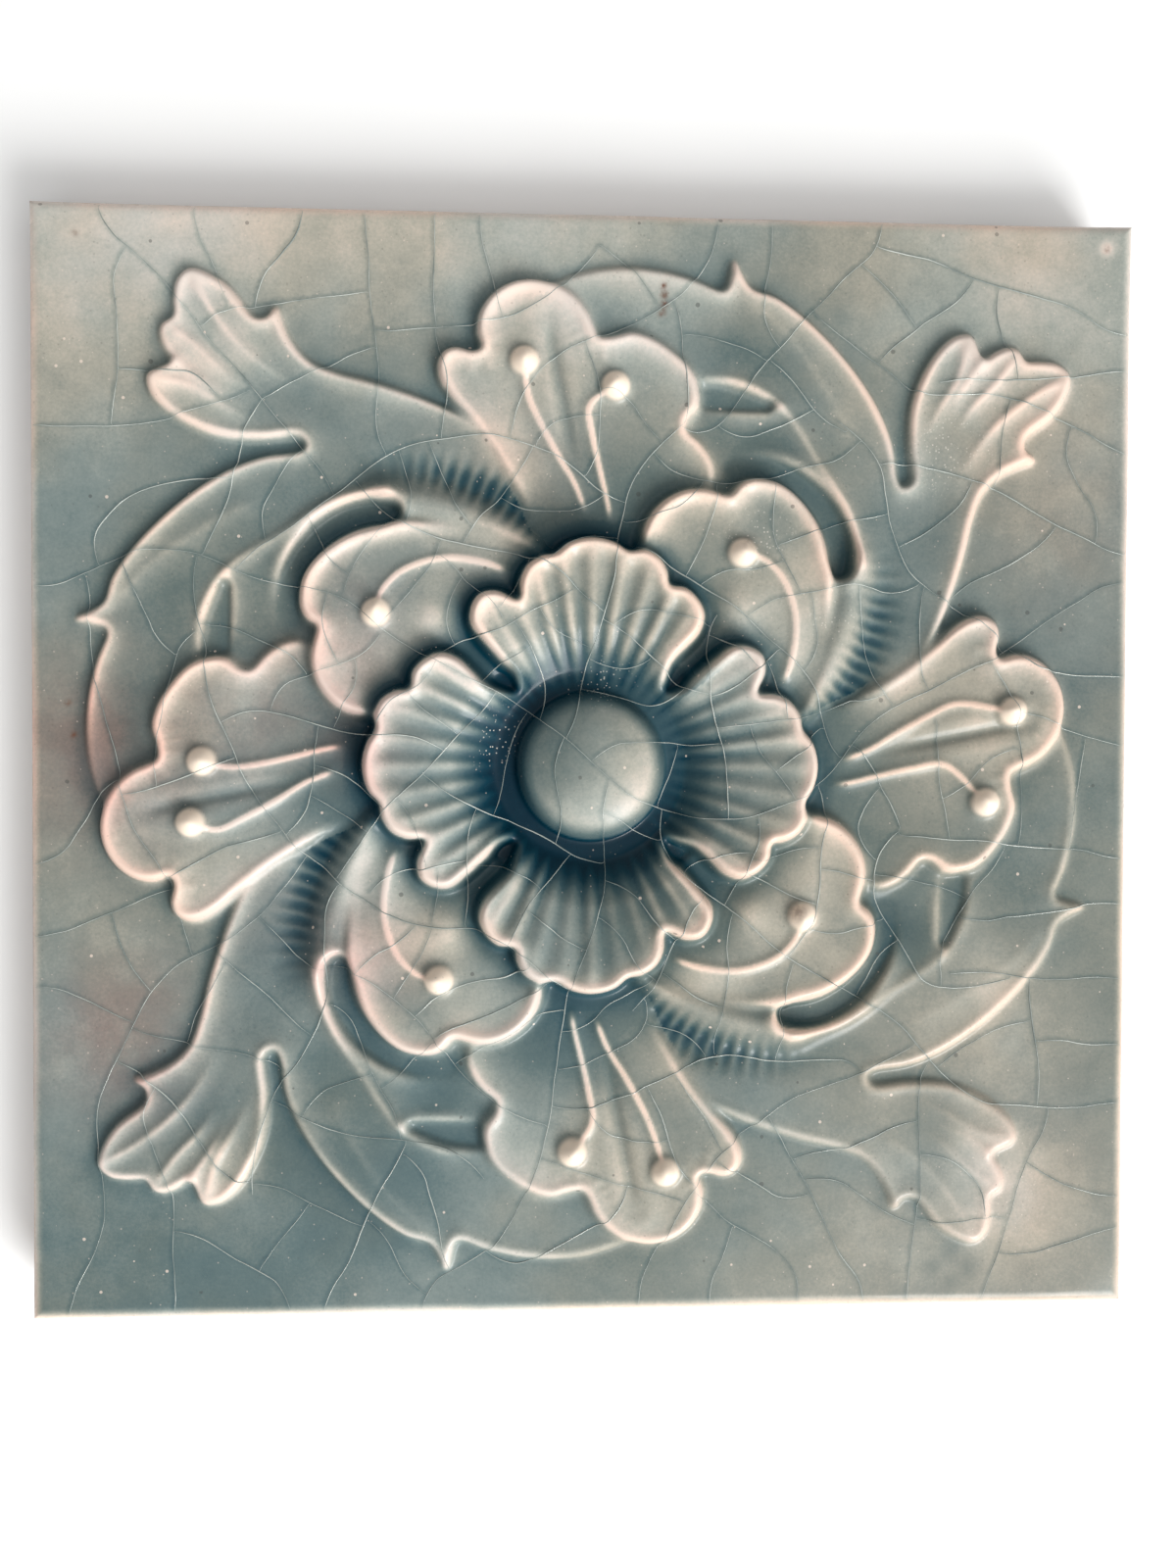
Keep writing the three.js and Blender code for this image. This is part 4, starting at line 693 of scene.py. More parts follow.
def rosette_height(grid, rng):
    """Four ruffled petals with fine flutes, rising from a flat cup, and the flutes' streaks of glaze."""
    outline = np.vstack([np.array(PETAL) @ turn for turn in reversed(quarter_turns())])
    depth, _ = grid.along(outline, ROSETTE_SCALE, closed=True, margin=OUTLINE_MARGIN)
    radius = grid.radius
    from_north = grid.angle - math.pi / 2
    rise = ease(CUP_RADIUS, CUP_RADIUS + CUP_WALL, radius)
    strengths = rng.uniform(*FLUTE_STRENGTHS, FLUTES)
    place = from_north % (2 * math.pi) / (2 * math.pi) * FLUTES
    strength = strengths[np.round(place).astype(int) % FLUTES]
    wave = 0.5 + 0.5 * np.cos(from_north * FLUTES)
    flute = FLUTE_HEIGHT * (wave ** FLUTE_SHARPNESS - FLUTE_MIDDLE) * strength
    flute = flute * at_least(INNER_FLUTE_SHARE, ease(*FLUTE_GROWS, radius))
    dish = np.interp(radius, (CUP_RADIUS, *DISH_RADII), (CUP_FLOOR, *DISH_HEIGHTS))
    ruffle = lip(depth, *ROSETTE_LIP) * rise
    height = dish + ruffle + flute * rise * ease(*FLUTE_INSET, depth)
    near_cup = ease(BOSS_RADIUS, BOSS_RADIUS + STREAK_RISE, radius) * (1 - ease(*STREAK_FADE, radius))
    return height, ruffle, depth, (STREAK_MIDDLE - wave) * strength * near_cup


def with_boss(grid, height):
    """The domed boss standing in the rosette's cup."""
    dome = np.sqrt(np.maximum(0, 1 - (grid.radius / BOSS_RADIUS) ** 2))
    boss = BOSS_SHOULDER * np.minimum(1, BOSS_SHOULDER_TURN * dome) + BOSS_DOME * dome
    return np.where(grid.radius < BOSS_RADIUS, np.maximum(height, boss), height)


def stamen_height(grid, points):
    """A filament, its round anther, and the mask of the anther's paler glaze."""
    gap, along = grid.along(points, STAMEN_SCALE, margin=STAMEN_MARGIN)
    filament = FILAMENT_HEIGHT * bump(gap, FILAMENT_WIDTH) * (1 - ease(*FILAMENT_FADE, along))
    tip_x, tip_y = np.array(points[0]) * STAMEN_SCALE
    from_tip = np.hypot(grid.x - tip_x, grid.y - tip_y) / ANTHER_RADIUS
    bead = ANTHER_HEIGHT * np.sqrt(np.maximum(0, 1 - from_tip ** 2))
    return filament, bead, 1 - ease(*ANTHER_GLAZE_EDGE, from_tip)


class GlazedFace:
    """The whole glazed surface on a grid: its level, its glaze's depth, and the piece each point is in."""

    def __init__(self, pitch, seed, cracks):
        self.grid = grid = Grid(pitch)
        rng = np.random.default_rng(seed)
        self.part = np.zeros(grid.x.shape, int)
        self.names = ["ground"]
        self.cracks = cracks
        height = self.pressed(grid, rng)
        self.cell_parts = joined_at_corners(self.part[:-1, :-1].copy())
        self.level = self.glazed(grid, height, rng)
        self.depth = self.glaze_depth(grid, height, rng)
        # The marks: painted pink reflection, then rust and dust
        self.marks = [self.spotted(spots) for spots in (PINK_REFLECTIONS, RUST, DUST)]
        slope_y, slope_x = np.gradient(self.level, grid.pitch)
        normals = np.dstack([-slope_x, -slope_y, np.ones_like(slope_x)])
        self.normals = normals / np.linalg.norm(normals, axis=2, keepdims=True)

    def spotted(self, spots):
        """Sum of round soft spots, each with its place, reach and strength."""
        total = np.zeros(self.grid.x.shape)
        for x, y, reach, amount in spots:
            total += amount * bump(np.hypot(self.grid.x - x, self.grid.y - y), reach)
        return total

    def mark(self, name, where):
        """Gives the points of a mask to a named piece."""
        self.names.append(name)
        self.part[where] = len(self.names) - 1

    def pressed(self, grid, rng):
        """Height of the clay over the flat ground, laid up from the scrolls to the boss."""
        firm = 1 - SOFT_CORNER * ease(*SOFT_CORNER_RISE, grid.x - grid.y)
        scroll, scroll_ridges, scroll_depth, strokes = scroll_height(grid)
        scrolls = np.array([turned(scroll, q) + firm * turned(scroll_ridges, q) for q in QUARTERS])
        self.strokes = sum(turned(strokes, q) for q in QUARTERS)
        height = scrolls.max(axis=0)
        topmost = scrolls.argmax(axis=0)
        self.ridges = firm * np.maximum.reduce([turned(scroll_ridges, q) for q in QUARTERS])
        for quarter in QUARTERS:
            reach = turned(scroll_depth, quarter) > -WALL_OUT
            self.mark("scroll_" + CORNERS[quarter], reach & (topmost == quarter))
        slit = grid.along(BUD_SLIT, SCROLL_SCALE)
        eye = grid.along(LEAF_EYE, SCROLL_SCALE)
        for quarter in QUARTERS:
            gap, along = (turned(field, quarter) for field in slit)
            height = channelled(height, gap, along, SLIT_HALF_WIDTH, SLIT_BANK, SLIT_SHALLOW_END)
            gap, along = (turned(field, quarter) for field in eye)
            height = channelled(height, gap, along, EYE_HALF_WIDTH * ease(*EYE_WIDENS, along), 0, 0)
        for name, sides, (top, ridges, depth) in (
            ("trumpet_", FLOWER_SIDES, trumpet_height(grid)),
            ("bud_", CORNERS, bud_height(grid)),
        ):
            for quarter in QUARTERS:
                inside = turned(depth, quarter)
                raised = firm * turned(ridges, quarter)
                height = over(height, turned(top, quarter) + raised, inside)
                self.ridges = over(self.ridges, raised, inside)
                self.mark(name + sides[quarter], inside > -WALL_OUT)
        top, ruffle, self.rosette_depth, self.streaks = rosette_height(grid, rng)
        height = over(height, top, self.rosette_depth)
        self.ridges = over(self.ridges, ruffle, self.rosette_depth)
        self.mark("rosette", self.rosette_depth > -WALL_OUT)
        height = with_boss(grid, height)
        self.tips = np.zeros(grid.x.shape)
        self.filaments = np.zeros(grid.x.shape)
        for quarter, side in enumerate(FLOWER_SIDES):
            left, right = ANTHERS[side]
            for points in ([left, *LEFT_FILAMENT], [right, *RIGHT_FILAMENT], BUD_STAMEN):
                filament, bead, tip = (turned(field, quarter) for field in stamen_height(grid, points))
                height = height + filament + bead
                self.tips = np.maximum(self.tips, tip)
                self.filaments = np.maximum(self.filaments, filament / FILAMENT_HEIGHT)
        return height

    def glazed(self, grid, height, rng):
        """Level of the glaze over the underside: softened relief, filled to the pools' level."""
        soft = grid.blurred(height, SURFACE_SOFTNESS) - POOL_LEVEL
        filled = POOL_LEVEL + 0.5 * (soft + np.sqrt(soft ** 2 + POOL_EDGE ** 2))
        for width, swell in GLAZE_SWELLS:
            filled += swell * patches_of(grid, rng, width)
        self.from_edge = HALF_SIDE - np.maximum(abs(grid.x), abs(grid.y))
        inset = np.clip(1 - self.from_edge / RIM_WIDTH, 0, STEEPEST_RIM)
        rounded = 1 - np.sqrt(1 - inset ** 2)
        return SLAB_THICKNESS + filled - (filled + RIM_DROP) * rounded

    def glaze_depth(self, grid, height, rng):
        """How thick the glaze reads: thin on crests, thick in hollows, with painted shade on slopes facing
        away from the light.
        """
        soft = grid.blurred(height, RUN_START)
        patches = patches_of(grid, rng, PATCH_SIZE)
        patchy = np.clip(PATCH_MIDDLE + PATCH_SWING * patches, *PATCH_LIMITS)
        patchy = patchy * (1 - SOFT_CORNER * ease(*EVEN_CORNER_RISE, grid.x - grid.y))
        depth = np.full(height.shape, GLAZE_ON_FLAT)
        for width, on_crest, in_hollow in GLAZE_RUNS:
            lack = grid.blurred(height, width) - soft
            depth += on_crest * patchy * np.minimum(lack, 0) + in_hollow * np.maximum(lack, 0)
        # Painted shade: slopes that rise towards the light read darker, and those facing it read paler
        slope_y, slope_x = np.gradient(grid.blurred(height, SLOPE_SHADE_SOFTNESS), grid.pitch)
        depth += SLOPE_SHADE * np.clip(slope_x * SHADE_LIGHT_SIDE[0] + slope_y * SHADE_LIGHT_SIDE[1], *SLOPE_SHADE_LIMITS)
        depth = self.pooled_round_boss(grid, depth)
        depth += MOTTLE * patches * ease(*MOTTLE_RISE, soft)
        depth -= THIN_ON_RIDGES * grid.blurred(self.ridges, RIDGE_SOFTNESS)
        for kind, outer, throat in THIN_ON_FIELDS:
            numbers = [n for n, name in enumerate(self.names) if name.startswith(kind)]
            thinner = throat + (outer - throat) * ease(*FIELD_RISE, grid.radius)
            depth -= thinner * grid.blurred(np.isin(self.part, numbers).astype(float), FIELD_SOFTNESS)
        depth -= THIN_ON_FILAMENTS * self.filaments ** 2
        # Soft clouds of glaze, some of them painted glare
        depth += self.spotted(GLAZE_CLOUDS_AND_GLARE)
        depth += GROOVE_STROKES * self.strokes * (self.part <= len(CORNERS))
        depth += CRACK_SHADE * self.crack_shade(grid)
        return np.clip(depth, 0, DEEPEST) * ease(EDGE_GLAZE_START, RIM_WIDTH, self.from_edge)

    def pooled_round_boss(self, grid, depth):
        """The glaze's depth with the pool in the cup, painted shadow at the petals' foot and just outside
        the rosette, and the boss's glaze with painted shade on its upper left.
        """
        lower_left = 1 + POOL_LEAN * np.cos(grid.angle - POOL_LEANS_TO)
        pool = CUP_POOL * (1 - ease(*CUP_POOL_FADE, grid.radius)) * lower_left
        pool += FLUTE_STREAKS * self.streaks
        outside = self.rosette_depth
        # Painted shadow round the rosette's foot, heaviest on the upper left, and painted shade just outside
        # the rosette
        one_side = ROSETTE_FOOT_SHADOW_EVEN + (1 - ROSETTE_FOOT_SHADOW_EVEN) * np.cos(grid.angle - ROSETTE_FOOT_SHADOW_SIDE)
        foot = bump(outside + ROSETTE_FOOT_SHADOW_AWAY, ROSETTE_FOOT_SHADOW_WIDTH) * one_side
        shade = (1 - ease(0, ROSETTE_SHADE_REACH, -outside)) * (1 - ease(*ROSETTE_SHADE_END, outside))
        depth = depth + pool + ROSETTE_FOOT_SHADOW * foot + ROSETTE_SHADE * shade
        # Painted shade: the boss reads darker towards its upper left and paler towards its lower right
        upper_left = (grid.y - grid.x) / BOSS_RADIUS / math.sqrt(2)
        rim = BOSS_RIM * ease(*BOSS_RIM_RISE, grid.radius / BOSS_RADIUS)
        boss_glaze_and_shade = GLAZE_ON_FLAT - BOSS_THINNER + rim + BOSS_SHADE_LEAN * upper_left
        off_boss = ease(*BOSS_EDGE, grid.radius)
        return depth * off_boss + boss_glaze_and_shade * (1 - off_boss)

    def crack_shade(self, grid):
        """The painted shadow beside every crazed line, 1 at its middle."""
        shade = np.zeros(grid.x.shape)
        for line in self.cracks:
            flat = spaced(line, grid.pitch / 2)[0] + CRACK_SHADE_SHIFT
            col, row = np.clip(np.round((flat + HALF_SIDE) / grid.pitch), 0, grid.count - 1).astype(int).T
            shade[row, col] = 1
        peak = grid.pitch / (CRACK_SHADE_WIDTH * math.sqrt(2 * math.pi))
        return np.clip(grid.blurred(shade, CRACK_SHADE_WIDTH) / peak, 0, 1)

    def cells(self, name):
        """Grid cells that belong to a piece, without cells that touch each other only at a corner."""
        return self.cell_parts == self.names.index(name)


def patches_of(grid, rng, width):
    """Random soft patches of a given width, of unit spread."""
    patches = grid.blurred(rng.standard_normal(grid.x.shape), width)
    return patches / patches.std()


def joined_at_corners(parts, passes=6):
    """Cell labels changed so that no piece meets itself at a single point."""
    for _ in range(passes):
        a, b, c, d = parts[:-1, :-1], parts[:-1, 1:], parts[1:, 1:], parts[1:, :-1]
        rows, cols = np.nonzero((a == c) & (a != b) & (a != d))
        parts[rows, cols + 1] = parts[rows, cols]
        rows, cols = np.nonzero((b == d) & (b != a) & (b != c))
        parts[rows, cols] = parts[rows, cols + 1]
    return parts


FACES = {}


def glazed_face(scene):
    """The glazed surface for the present sizes, worked out once."""
    settings = scene.tile_face
    pitch = settings.grid_pitch / MM * 1
    key = (pitch, settings.seed)
    if key not in FACES:
        FACES[key] = GlazedFace(*key, crack_lines(scene.tile_crazing))
    return FACES[key]


def new_mesh(name, vertices, faces):
    """A mesh from vertices in metres and a list of arrays of faces, each array with its own corner count."""
    mesh = bpy.data.meshes.new(name)
    corners = np.concatenate([f.ravel() for f in faces]).astype(np.int32)
    sizes = np.concatenate([np.full(len(f), f.shape[1]) for f in faces])
    starts = np.concatenate([[0], np.cumsum(sizes)[:-1]]).astype(np.int32)
    mesh.vertices.add(len(vertices))
    mesh.vertices.foreach_set("co", np.asarray(vertices, np.float32).ravel())
    mesh.loops.add(len(corners))
    mesh.loops.foreach_set("vertex_index", corners)
    mesh.polygons.add(len(sizes))
    mesh.polygons.foreach_set("loop_start", starts)
    mesh.update(calc_edges=True)
    return mesh


def placed(name, mesh, slot, *replaced):
    """A piece at the origin that rides on the tile's body."""
    piece = bpy.data.objects.new(name, mesh)
    bpy.context.scene.collection.objects.link(piece)
    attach(piece, BODY)
    if replaced:
        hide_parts(*replaced)


def patch_mesh(name, face, cells):
    """A closed piece of the glazed surface: the chosen cells, walls round them and a flat underside."""
    count = face.grid.count
    rows, cols = np.nonzero(cells)
    south_west = rows * count + cols
    quads = np.stack([south_west, south_west + 1, south_west + count + 1, south_west + count], axis=1)
    framed = np.pad(cells, 1)
    rims = []
    for side, (down, right) in enumerate(((-1, 0), (0, 1), (1, 0), (0, -1))):
        outer = ~framed[1 + down:framed.shape[0] - 1 + down, 1 + right:framed.shape[1] - 1 + right]
        edge = quads[outer[rows, cols]]
        rims.append(edge[:, [side, (side + 1) % 4]])
    rim = np.vstack(rims)
    used = np.unique(quads)
    number = np.full(count * count, -1)
    number[used] = np.arange(len(used))
    foot = np.unique(rim)
    foot_number = np.full(count * count, -1)
    foot_number[foot] = len(used) + np.arange(len(foot))
    x, y = face.grid.x.ravel(), face.grid.y.ravel()
    top = np.stack([x[used], y[used], face.level.ravel()[used]], axis=1)
    low = np.stack([x[foot], y[foot], np.full(len(foot), PATCH_FLOOR)], axis=1)
    start, end = rim.T
    walls = np.stack([number[end], number[start], foot_number[start], foot_number[end]], axis=1)
    floor = underside(low[:, :2], foot_number[rim] - len(used), cells, face.grid) + len(used)
    faces = [number[quads], walls, floor]
    mesh = new_mesh(name, np.vstack([top, low]) * MM, faces)
    smooth = np.zeros(len(mesh.polygons), bool)
    smooth[:len(quads)] = True
    mesh.polygons.foreach_set("use_smooth", smooth)
    points = np.concatenate([used, foot])
    at_edge = 1 - ease(*BARE_EDGE, face.from_edge)
    glaze = [field.ravel()[points] for field in (face.depth / DEEPEST, face.tips, at_edge)]
    glaze[2][len(used):] = 1
    # The marks' channels: painted pink reflection, rust and dust
    marks = [field.ravel()[points] for field in face.marks]
    for label, channels in (("glaze", glaze), ("marks", marks)):
        paint = np.column_stack([*channels, np.zeros(len(points))]).astype(np.float32)
        mesh.attributes.new(label, "FLOAT_COLOR", "POINT").data.foreach_set("color", paint.ravel())
    normals = np.zeros((len(mesh.loops), 3))
    normals[:quads.size] = face.normals.reshape(-1, 3)[quads.ravel()]
    mesh.normals_split_custom_set(normals)
    return mesh


def underside(points, edges, cells, grid):
    """Triangles of a flat underside within an outline of grid points, seen from below."""
    given = [Vector(p) for p in points]
    made = delaunay_2d_cdt(given, edges.tolist(), [], 0, grid.pitch * 1e-3)
    corners, faces, sources = made[0], made[2], made[3]
    origin = np.array([source[0] for source in sources])
    faces = np.array(faces)
    middle = np.array([list(c) for c in corners])[faces].mean(axis=1)
    col, row = np.floor((middle + HALF_SIDE) / grid.pitch).astype(int).T
    limit = cells.shape[0] - 1
    inside = cells[np.clip(row, 0, limit), np.clip(col, 0, limit)]
    return origin[faces[inside]][:, ::-1]


# Node helpers

def add(tree, kind, inputs=(), **settings):
    """A new node with its settings, its inputs given as values or as sockets to link from."""
    made = tree.nodes.new(kind)
    for name, value in settings.items():
        setattr(made, name, value)
    for name, value in dict(inputs).items():
        put(tree, made.inputs[name], value)
    return made


def put(tree, socket, value):
    """Sets an input to a value, or links it from a socket."""
    if isinstance(value, bpy.types.NodeSocket):
        tree.links.new(value, socket)
    else:
        socket.default_value = value


def math_node(tree, operation, *values):
    """The result of one operation on values or sockets."""
    return add(tree, "ShaderNodeMath", enumerate(values), operation=operation).outputs[0]


def times(tree, a, b):
    """The product of two values or sockets."""
    return math_node(tree, "MULTIPLY", a, b)


def mapped(tree, value, low, high, to_low=0.0, to_high=1.0, smooth=False):
    """A value's range carried to another, clamped."""
    kind = "SMOOTHSTEP" if smooth else "LINEAR"
    ends = {"Value": value, "From Min": low, "From Max": high, "To Min": to_low, "To Max": to_high}
    return add(tree, "ShaderNodeMapRange", ends, interpolation_type=kind).outputs["Result"]


def mixed(tree, factor, a, b, blend="MIX"):
    """Two colours mixed."""
    node = add(tree, "ShaderNodeMix", data_type="RGBA", blend_type=blend)
    for identifier, value in (("Factor_Float", factor), ("A_Color", a), ("B_Color", b)):
        socket = next(s for s in node.inputs if s.identifier == identifier)
        put(tree, socket, value)
    return next(s for s in node.outputs if s.type == "RGBA")


def noise(tree, place, scale, detail, roughness):
    """Soft noise from 0 to 1, its scale in cells per metre."""
    values = {"Vector": place, "Scale": scale, "Detail": detail, "Roughness": roughness}
    return add(tree, "ShaderNodeTexNoise", values).outputs["Fac"]


def linear(red, green, blue):
    """A colour as written for a screen, from 0 to 255, as Blender's own linear one."""
    return tuple(((v / 255 + 0.055) / 1.055) ** 2.4 if v > 10 else v / 3294.6 for v in (red, green, blue))


def opaque(colour):
    """A colour with full alpha, as sockets take it."""
    return (*colour[:3], 1.0)


def multiplied(tree, colour, tint):
    """A colour with a tint multiplied over it."""
    return mixed(tree, 1.0, colour, tint, "MULTIPLY")


def coordinate(tree, place, axis):
    """One coordinate of a place, in metres."""
    return add(tree, "ShaderNodeSeparateXYZ", {"Vector": place}).outputs[axis]


def channels_of(tree, attribute):
    """The three channels of a colour attribute that a piece carries."""
    paint = add(tree, "ShaderNodeAttribute", attribute_name=attribute, attribute_type="GEOMETRY")
    parts = add(tree, "ShaderNodeSeparateColor", {"Color": paint.outputs["Color"]})
    return [parts.outputs[n] for n in ("Red", "Green", "Blue")]


def group_of(name, inputs, outputs):
    """An empty shader group with its sockets, its input node and its output node."""
    tree = bpy.data.node_groups.new(name, "ShaderNodeTree")
    for label, kind, default in inputs:
        socket = tree.interface.new_socket(label, in_out="INPUT", socket_type=kind)
        if default is not None:
            socket.default_value = default
    for label, kind in outputs:
        tree.interface.new_socket(label, in_out="OUTPUT", socket_type=kind)
    return tree, tree.nodes.new("NodeGroupInput"), tree.nodes.new("NodeGroupOutput")


def placed_group(tree, group, inputs):
    """A group node with its inputs set, given back as its outputs."""
    node = add(tree, "ShaderNodeGroup", node_tree=group)
    for name, value in inputs.items():
        put(tree, node.inputs[name], value)
    return node.outputs


FLOAT, COLOUR, VECTOR = "NodeSocketFloat", "NodeSocketColor", "NodeSocketVector"


def clay_grain_group():
    """Pale pressed clay: uneven tone, fine grain and dark flecks, and the height of its grain."""
    tree, given, out = group_of("Clay grain", [
        ("Place", VECTOR, None),
        ("Clay", COLOUR, (0.7, 0.6, 0.5, 1)),
        ("Stain", COLOUR, (0.4, 0.3, 0.25, 1)),
        ("Stain amount", FLOAT, 0.5),
    ], [("Colour", COLOUR), ("Height", FLOAT)])
    place, clay, stain, amount = (given.outputs[n] for n in ("Place", "Clay", "Stain", "Stain amount"))
    cloud = noise(tree, place, *CLAY_NOISE)
    flecks = mapped(tree, noise(tree, place, *FLECK_NOISE), *FLECK_SPAN)
    base = mixed(tree, times(tree, mapped(tree, cloud, *CLAY_STAIN_SPAN), amount), clay, stain)
    flecked = mixed(tree, times(tree, flecks, FLECK_STRENGTH), base, stain)
    tree.links.new(flecked, out.inputs["Colour"])
    relief = math_node(tree, "ADD", times(tree, noise(tree, place, *GRAIN_NOISE), GRAIN_HEIGHT), cloud)
    tree.links.new(relief, out.inputs["Height"])
    return tree


def specks_group():
    """Sparse round specks of one size, as a mask."""
    tree, given, out = group_of("Specks", [
        ("Place", VECTOR, None),
        ("Scale", FLOAT, 400.0),
        ("Share", FLOAT, 0.1),
        ("Size", FLOAT, 0.3),
    ], [("Mask", FLOAT)])
    place, scale, part, size = (given.outputs[n] for n in ("Place", "Scale", "Share", "Size"))
    cells = add(tree, "ShaderNodeTexVoronoi", {"Vector": place, "Scale": scale, "Randomness": 1.0})
    pick = add(tree, "ShaderNodeSeparateColor", {"Color": cells.outputs["Color"]}).outputs["Red"]
    chosen = math_node(tree, "LESS_THAN", pick, part)
    dot = math_node(tree, "LESS_THAN", cells.outputs["Distance"], size)
    tree.links.new(times(tree, chosen, dot), out.inputs["Mask"])
    return tree


def specks(tree, place, scale, part, size):
    """A mask of specks: cells per metre, the share of cells with a speck, and its size in a cell."""
    return placed_group(tree, group("specks"), {
        "Place": place, "Scale": scale, "Share": part, "Size": size})["Mask"]


def clay_grain(tree, place, clay, amount):
    """The colour and the height of bare clay, stained by some amount."""
    return placed_group(tree, group("clay"), {
        "Place": place, "Clay": opaque(clay.clay), "Stain": opaque(clay.stain), "Stain amount": amount})


GROUPS = {}


def group(name):
    """A shader group, built once."""
    makers = {"clay": clay_grain_group, "specks": specks_group}
    if name not in GROUPS:
        GROUPS[name] = makers[name]()
    return GROUPS[name]


def new_material(name, **plain):
    """A material with its shader's constant sockets set, and its node tree."""
    made = bpy.data.materials.new(name)
    made.use_nodes = True
    tree = made.node_tree
    shader = tree.nodes["Principled BSDF"]
    for socket, value in plain.items():
        shader.inputs[socket.replace("_", " ")].default_value = value
    place = add(tree, "ShaderNodeTexCoord").outputs["Object"]
    return made, tree, shader, place


def glaze_ramp(tree, depth, look):
    """Colour of the glaze by its thickness."""
    node = add(tree, "ShaderNodeValToRGB", {"Fac": depth})
    ramp = node.color_ramp
    while len(ramp.elements) < len(GLAZE_TONES):
        ramp.elements.new(0.5)
    for element, (tone_name, at) in zip(ramp.elements, GLAZE_TONES):
        element.position = at / DEEPEST
        element.color = opaque(getattr(look, tone_name))
    return node.outputs["Color"]


def glazed_material(look, clay):
    """Glossy crazed glaze whose colour follows its thickness, greyed towards the right by a painted veil of
    reflected light and tinted by patches of painted pink reflection, bare clay at the rim.
    """
    made, tree, shader, place = new_material("glazed_relief", IOR=1.42, Specular_IOR_Level=0.28)
    depth, tip, bare = channels_of(tree, "glaze")
    blush, rust, dust = channels_of(tree, "marks")
    for kind, swing in GLAZE_NOISES:
        cloud = mapped(tree, noise(tree, place, *kind), *NOISE_SPAN, -swing, swing)
        depth = math_node(tree, "ADD", depth, cloud)
    colour = glaze_ramp(tree, depth, look)
    across = coordinate(tree, place, "X")
    # Painted veil of reflected light: the glaze greys towards the right
    towards_right = mapped(tree, across, *RIGHT_VEIL_SPAN, 0.0, RIGHT_VEIL_MOST, smooth=True)
    colour = mixed(tree, towards_right, colour, multiplied(tree, colour, opaque(look.right_tint)))
    drift = mapped(tree, noise(tree, place, *DRIFT_NOISE), *DRIFT_SPAN, smooth=True)
    colour = multiplied(tree, colour, mixed(tree, drift, opaque(look.cool_tint), opaque(look.warm_tint)))
    # Painted pink reflection, broken by noise and multiplied over the glaze
    pink_reflection_share = times(tree, blush, mapped(tree, noise(tree, place, *PINK_REFLECTION_NOISE), *MARK_SPAN, PINK_REFLECTION_LEAST))
    colour = mixed(tree, pink_reflection_share, colour, multiplied(tree, colour, opaque(look.blush)))
    colour = mixed(tree, tip, colour, opaque(look.anther))
    for tone_name, kind, strength in GLAZE_SPECKS:
        dots = times(tree, specks(tree, place, *kind), strength)
        colour = mixed(tree, dots, colour, opaque(getattr(look, tone_name)))
    rusty = times(tree, rust, mapped(tree, noise(tree, place, *RUST_NOISE), *MARK_SPAN, RUST_LEAST))
    colour = mixed(tree, rusty, colour, opaque(look.rust))
    dusty = times(tree, specks(tree, place, *DUST_SPECKS), dust)
    colour = mixed(tree, dusty, colour, opaque(look.dust))
    ragged = mapped(tree, noise(tree, place, *BARE_NOISE), *NOISE_SPAN, -BARE_SWING, BARE_SWING)
    bared = mapped(tree, math_node(tree, "ADD", bare, ragged), *BARE_SPAN)
    colour = mixed(tree, bared, colour, clay_grain(tree, place, clay, BARE_STAIN)["Colour"])
    gloss = mapped(tree, noise(tree, place, *GLOSS_NOISE), *NOISE_SPAN, *GLAZE_ROUGHNESS)
    rough = math_node(tree, "MAXIMUM", gloss, times(tree, bared, BARE_ROUGHNESS))
    peel = times(tree, noise(tree, place, *PEEL_NOISE), PEEL_HEIGHT)
    link_surface(tree, shader, colour, rough, (peel, *GLAZE_BUMP))
    return made


def link_surface(tree, shader, colour, rough, relief=None):
    """Links a material's colour and roughness, and its relief with its strength and its depth in metres."""
    tree.links.new(colour, shader.inputs["Base Color"])
    tree.links.new(rough, shader.inputs["Roughness"])
    if relief:
        height, strength, deep = relief
        bumped = add(tree, "ShaderNodeBump", {"Height": height, "Strength": strength, "Distance": deep})
        tree.links.new(bumped.outputs["Normal"], shader.inputs["Normal"])


def crack_material(look):
    """Glaze along the crazing, a little paler than the ground and broken by grime."""
    made, tree, shader, place = new_material("crazed_line", IOR=1.5, Coat_Weight=0.2, Coat_Roughness=0.05)
    grime = mapped(tree, noise(tree, place, *GRIME_NOISE), *GRIME_SPAN)
    colour = mixed(tree, grime, opaque(look.crack), opaque(look.crack_grime))
    link_surface(tree, shader, colour, mapped(tree, grime, 0, 1, *CRACK_ROUGHNESS))
    return made


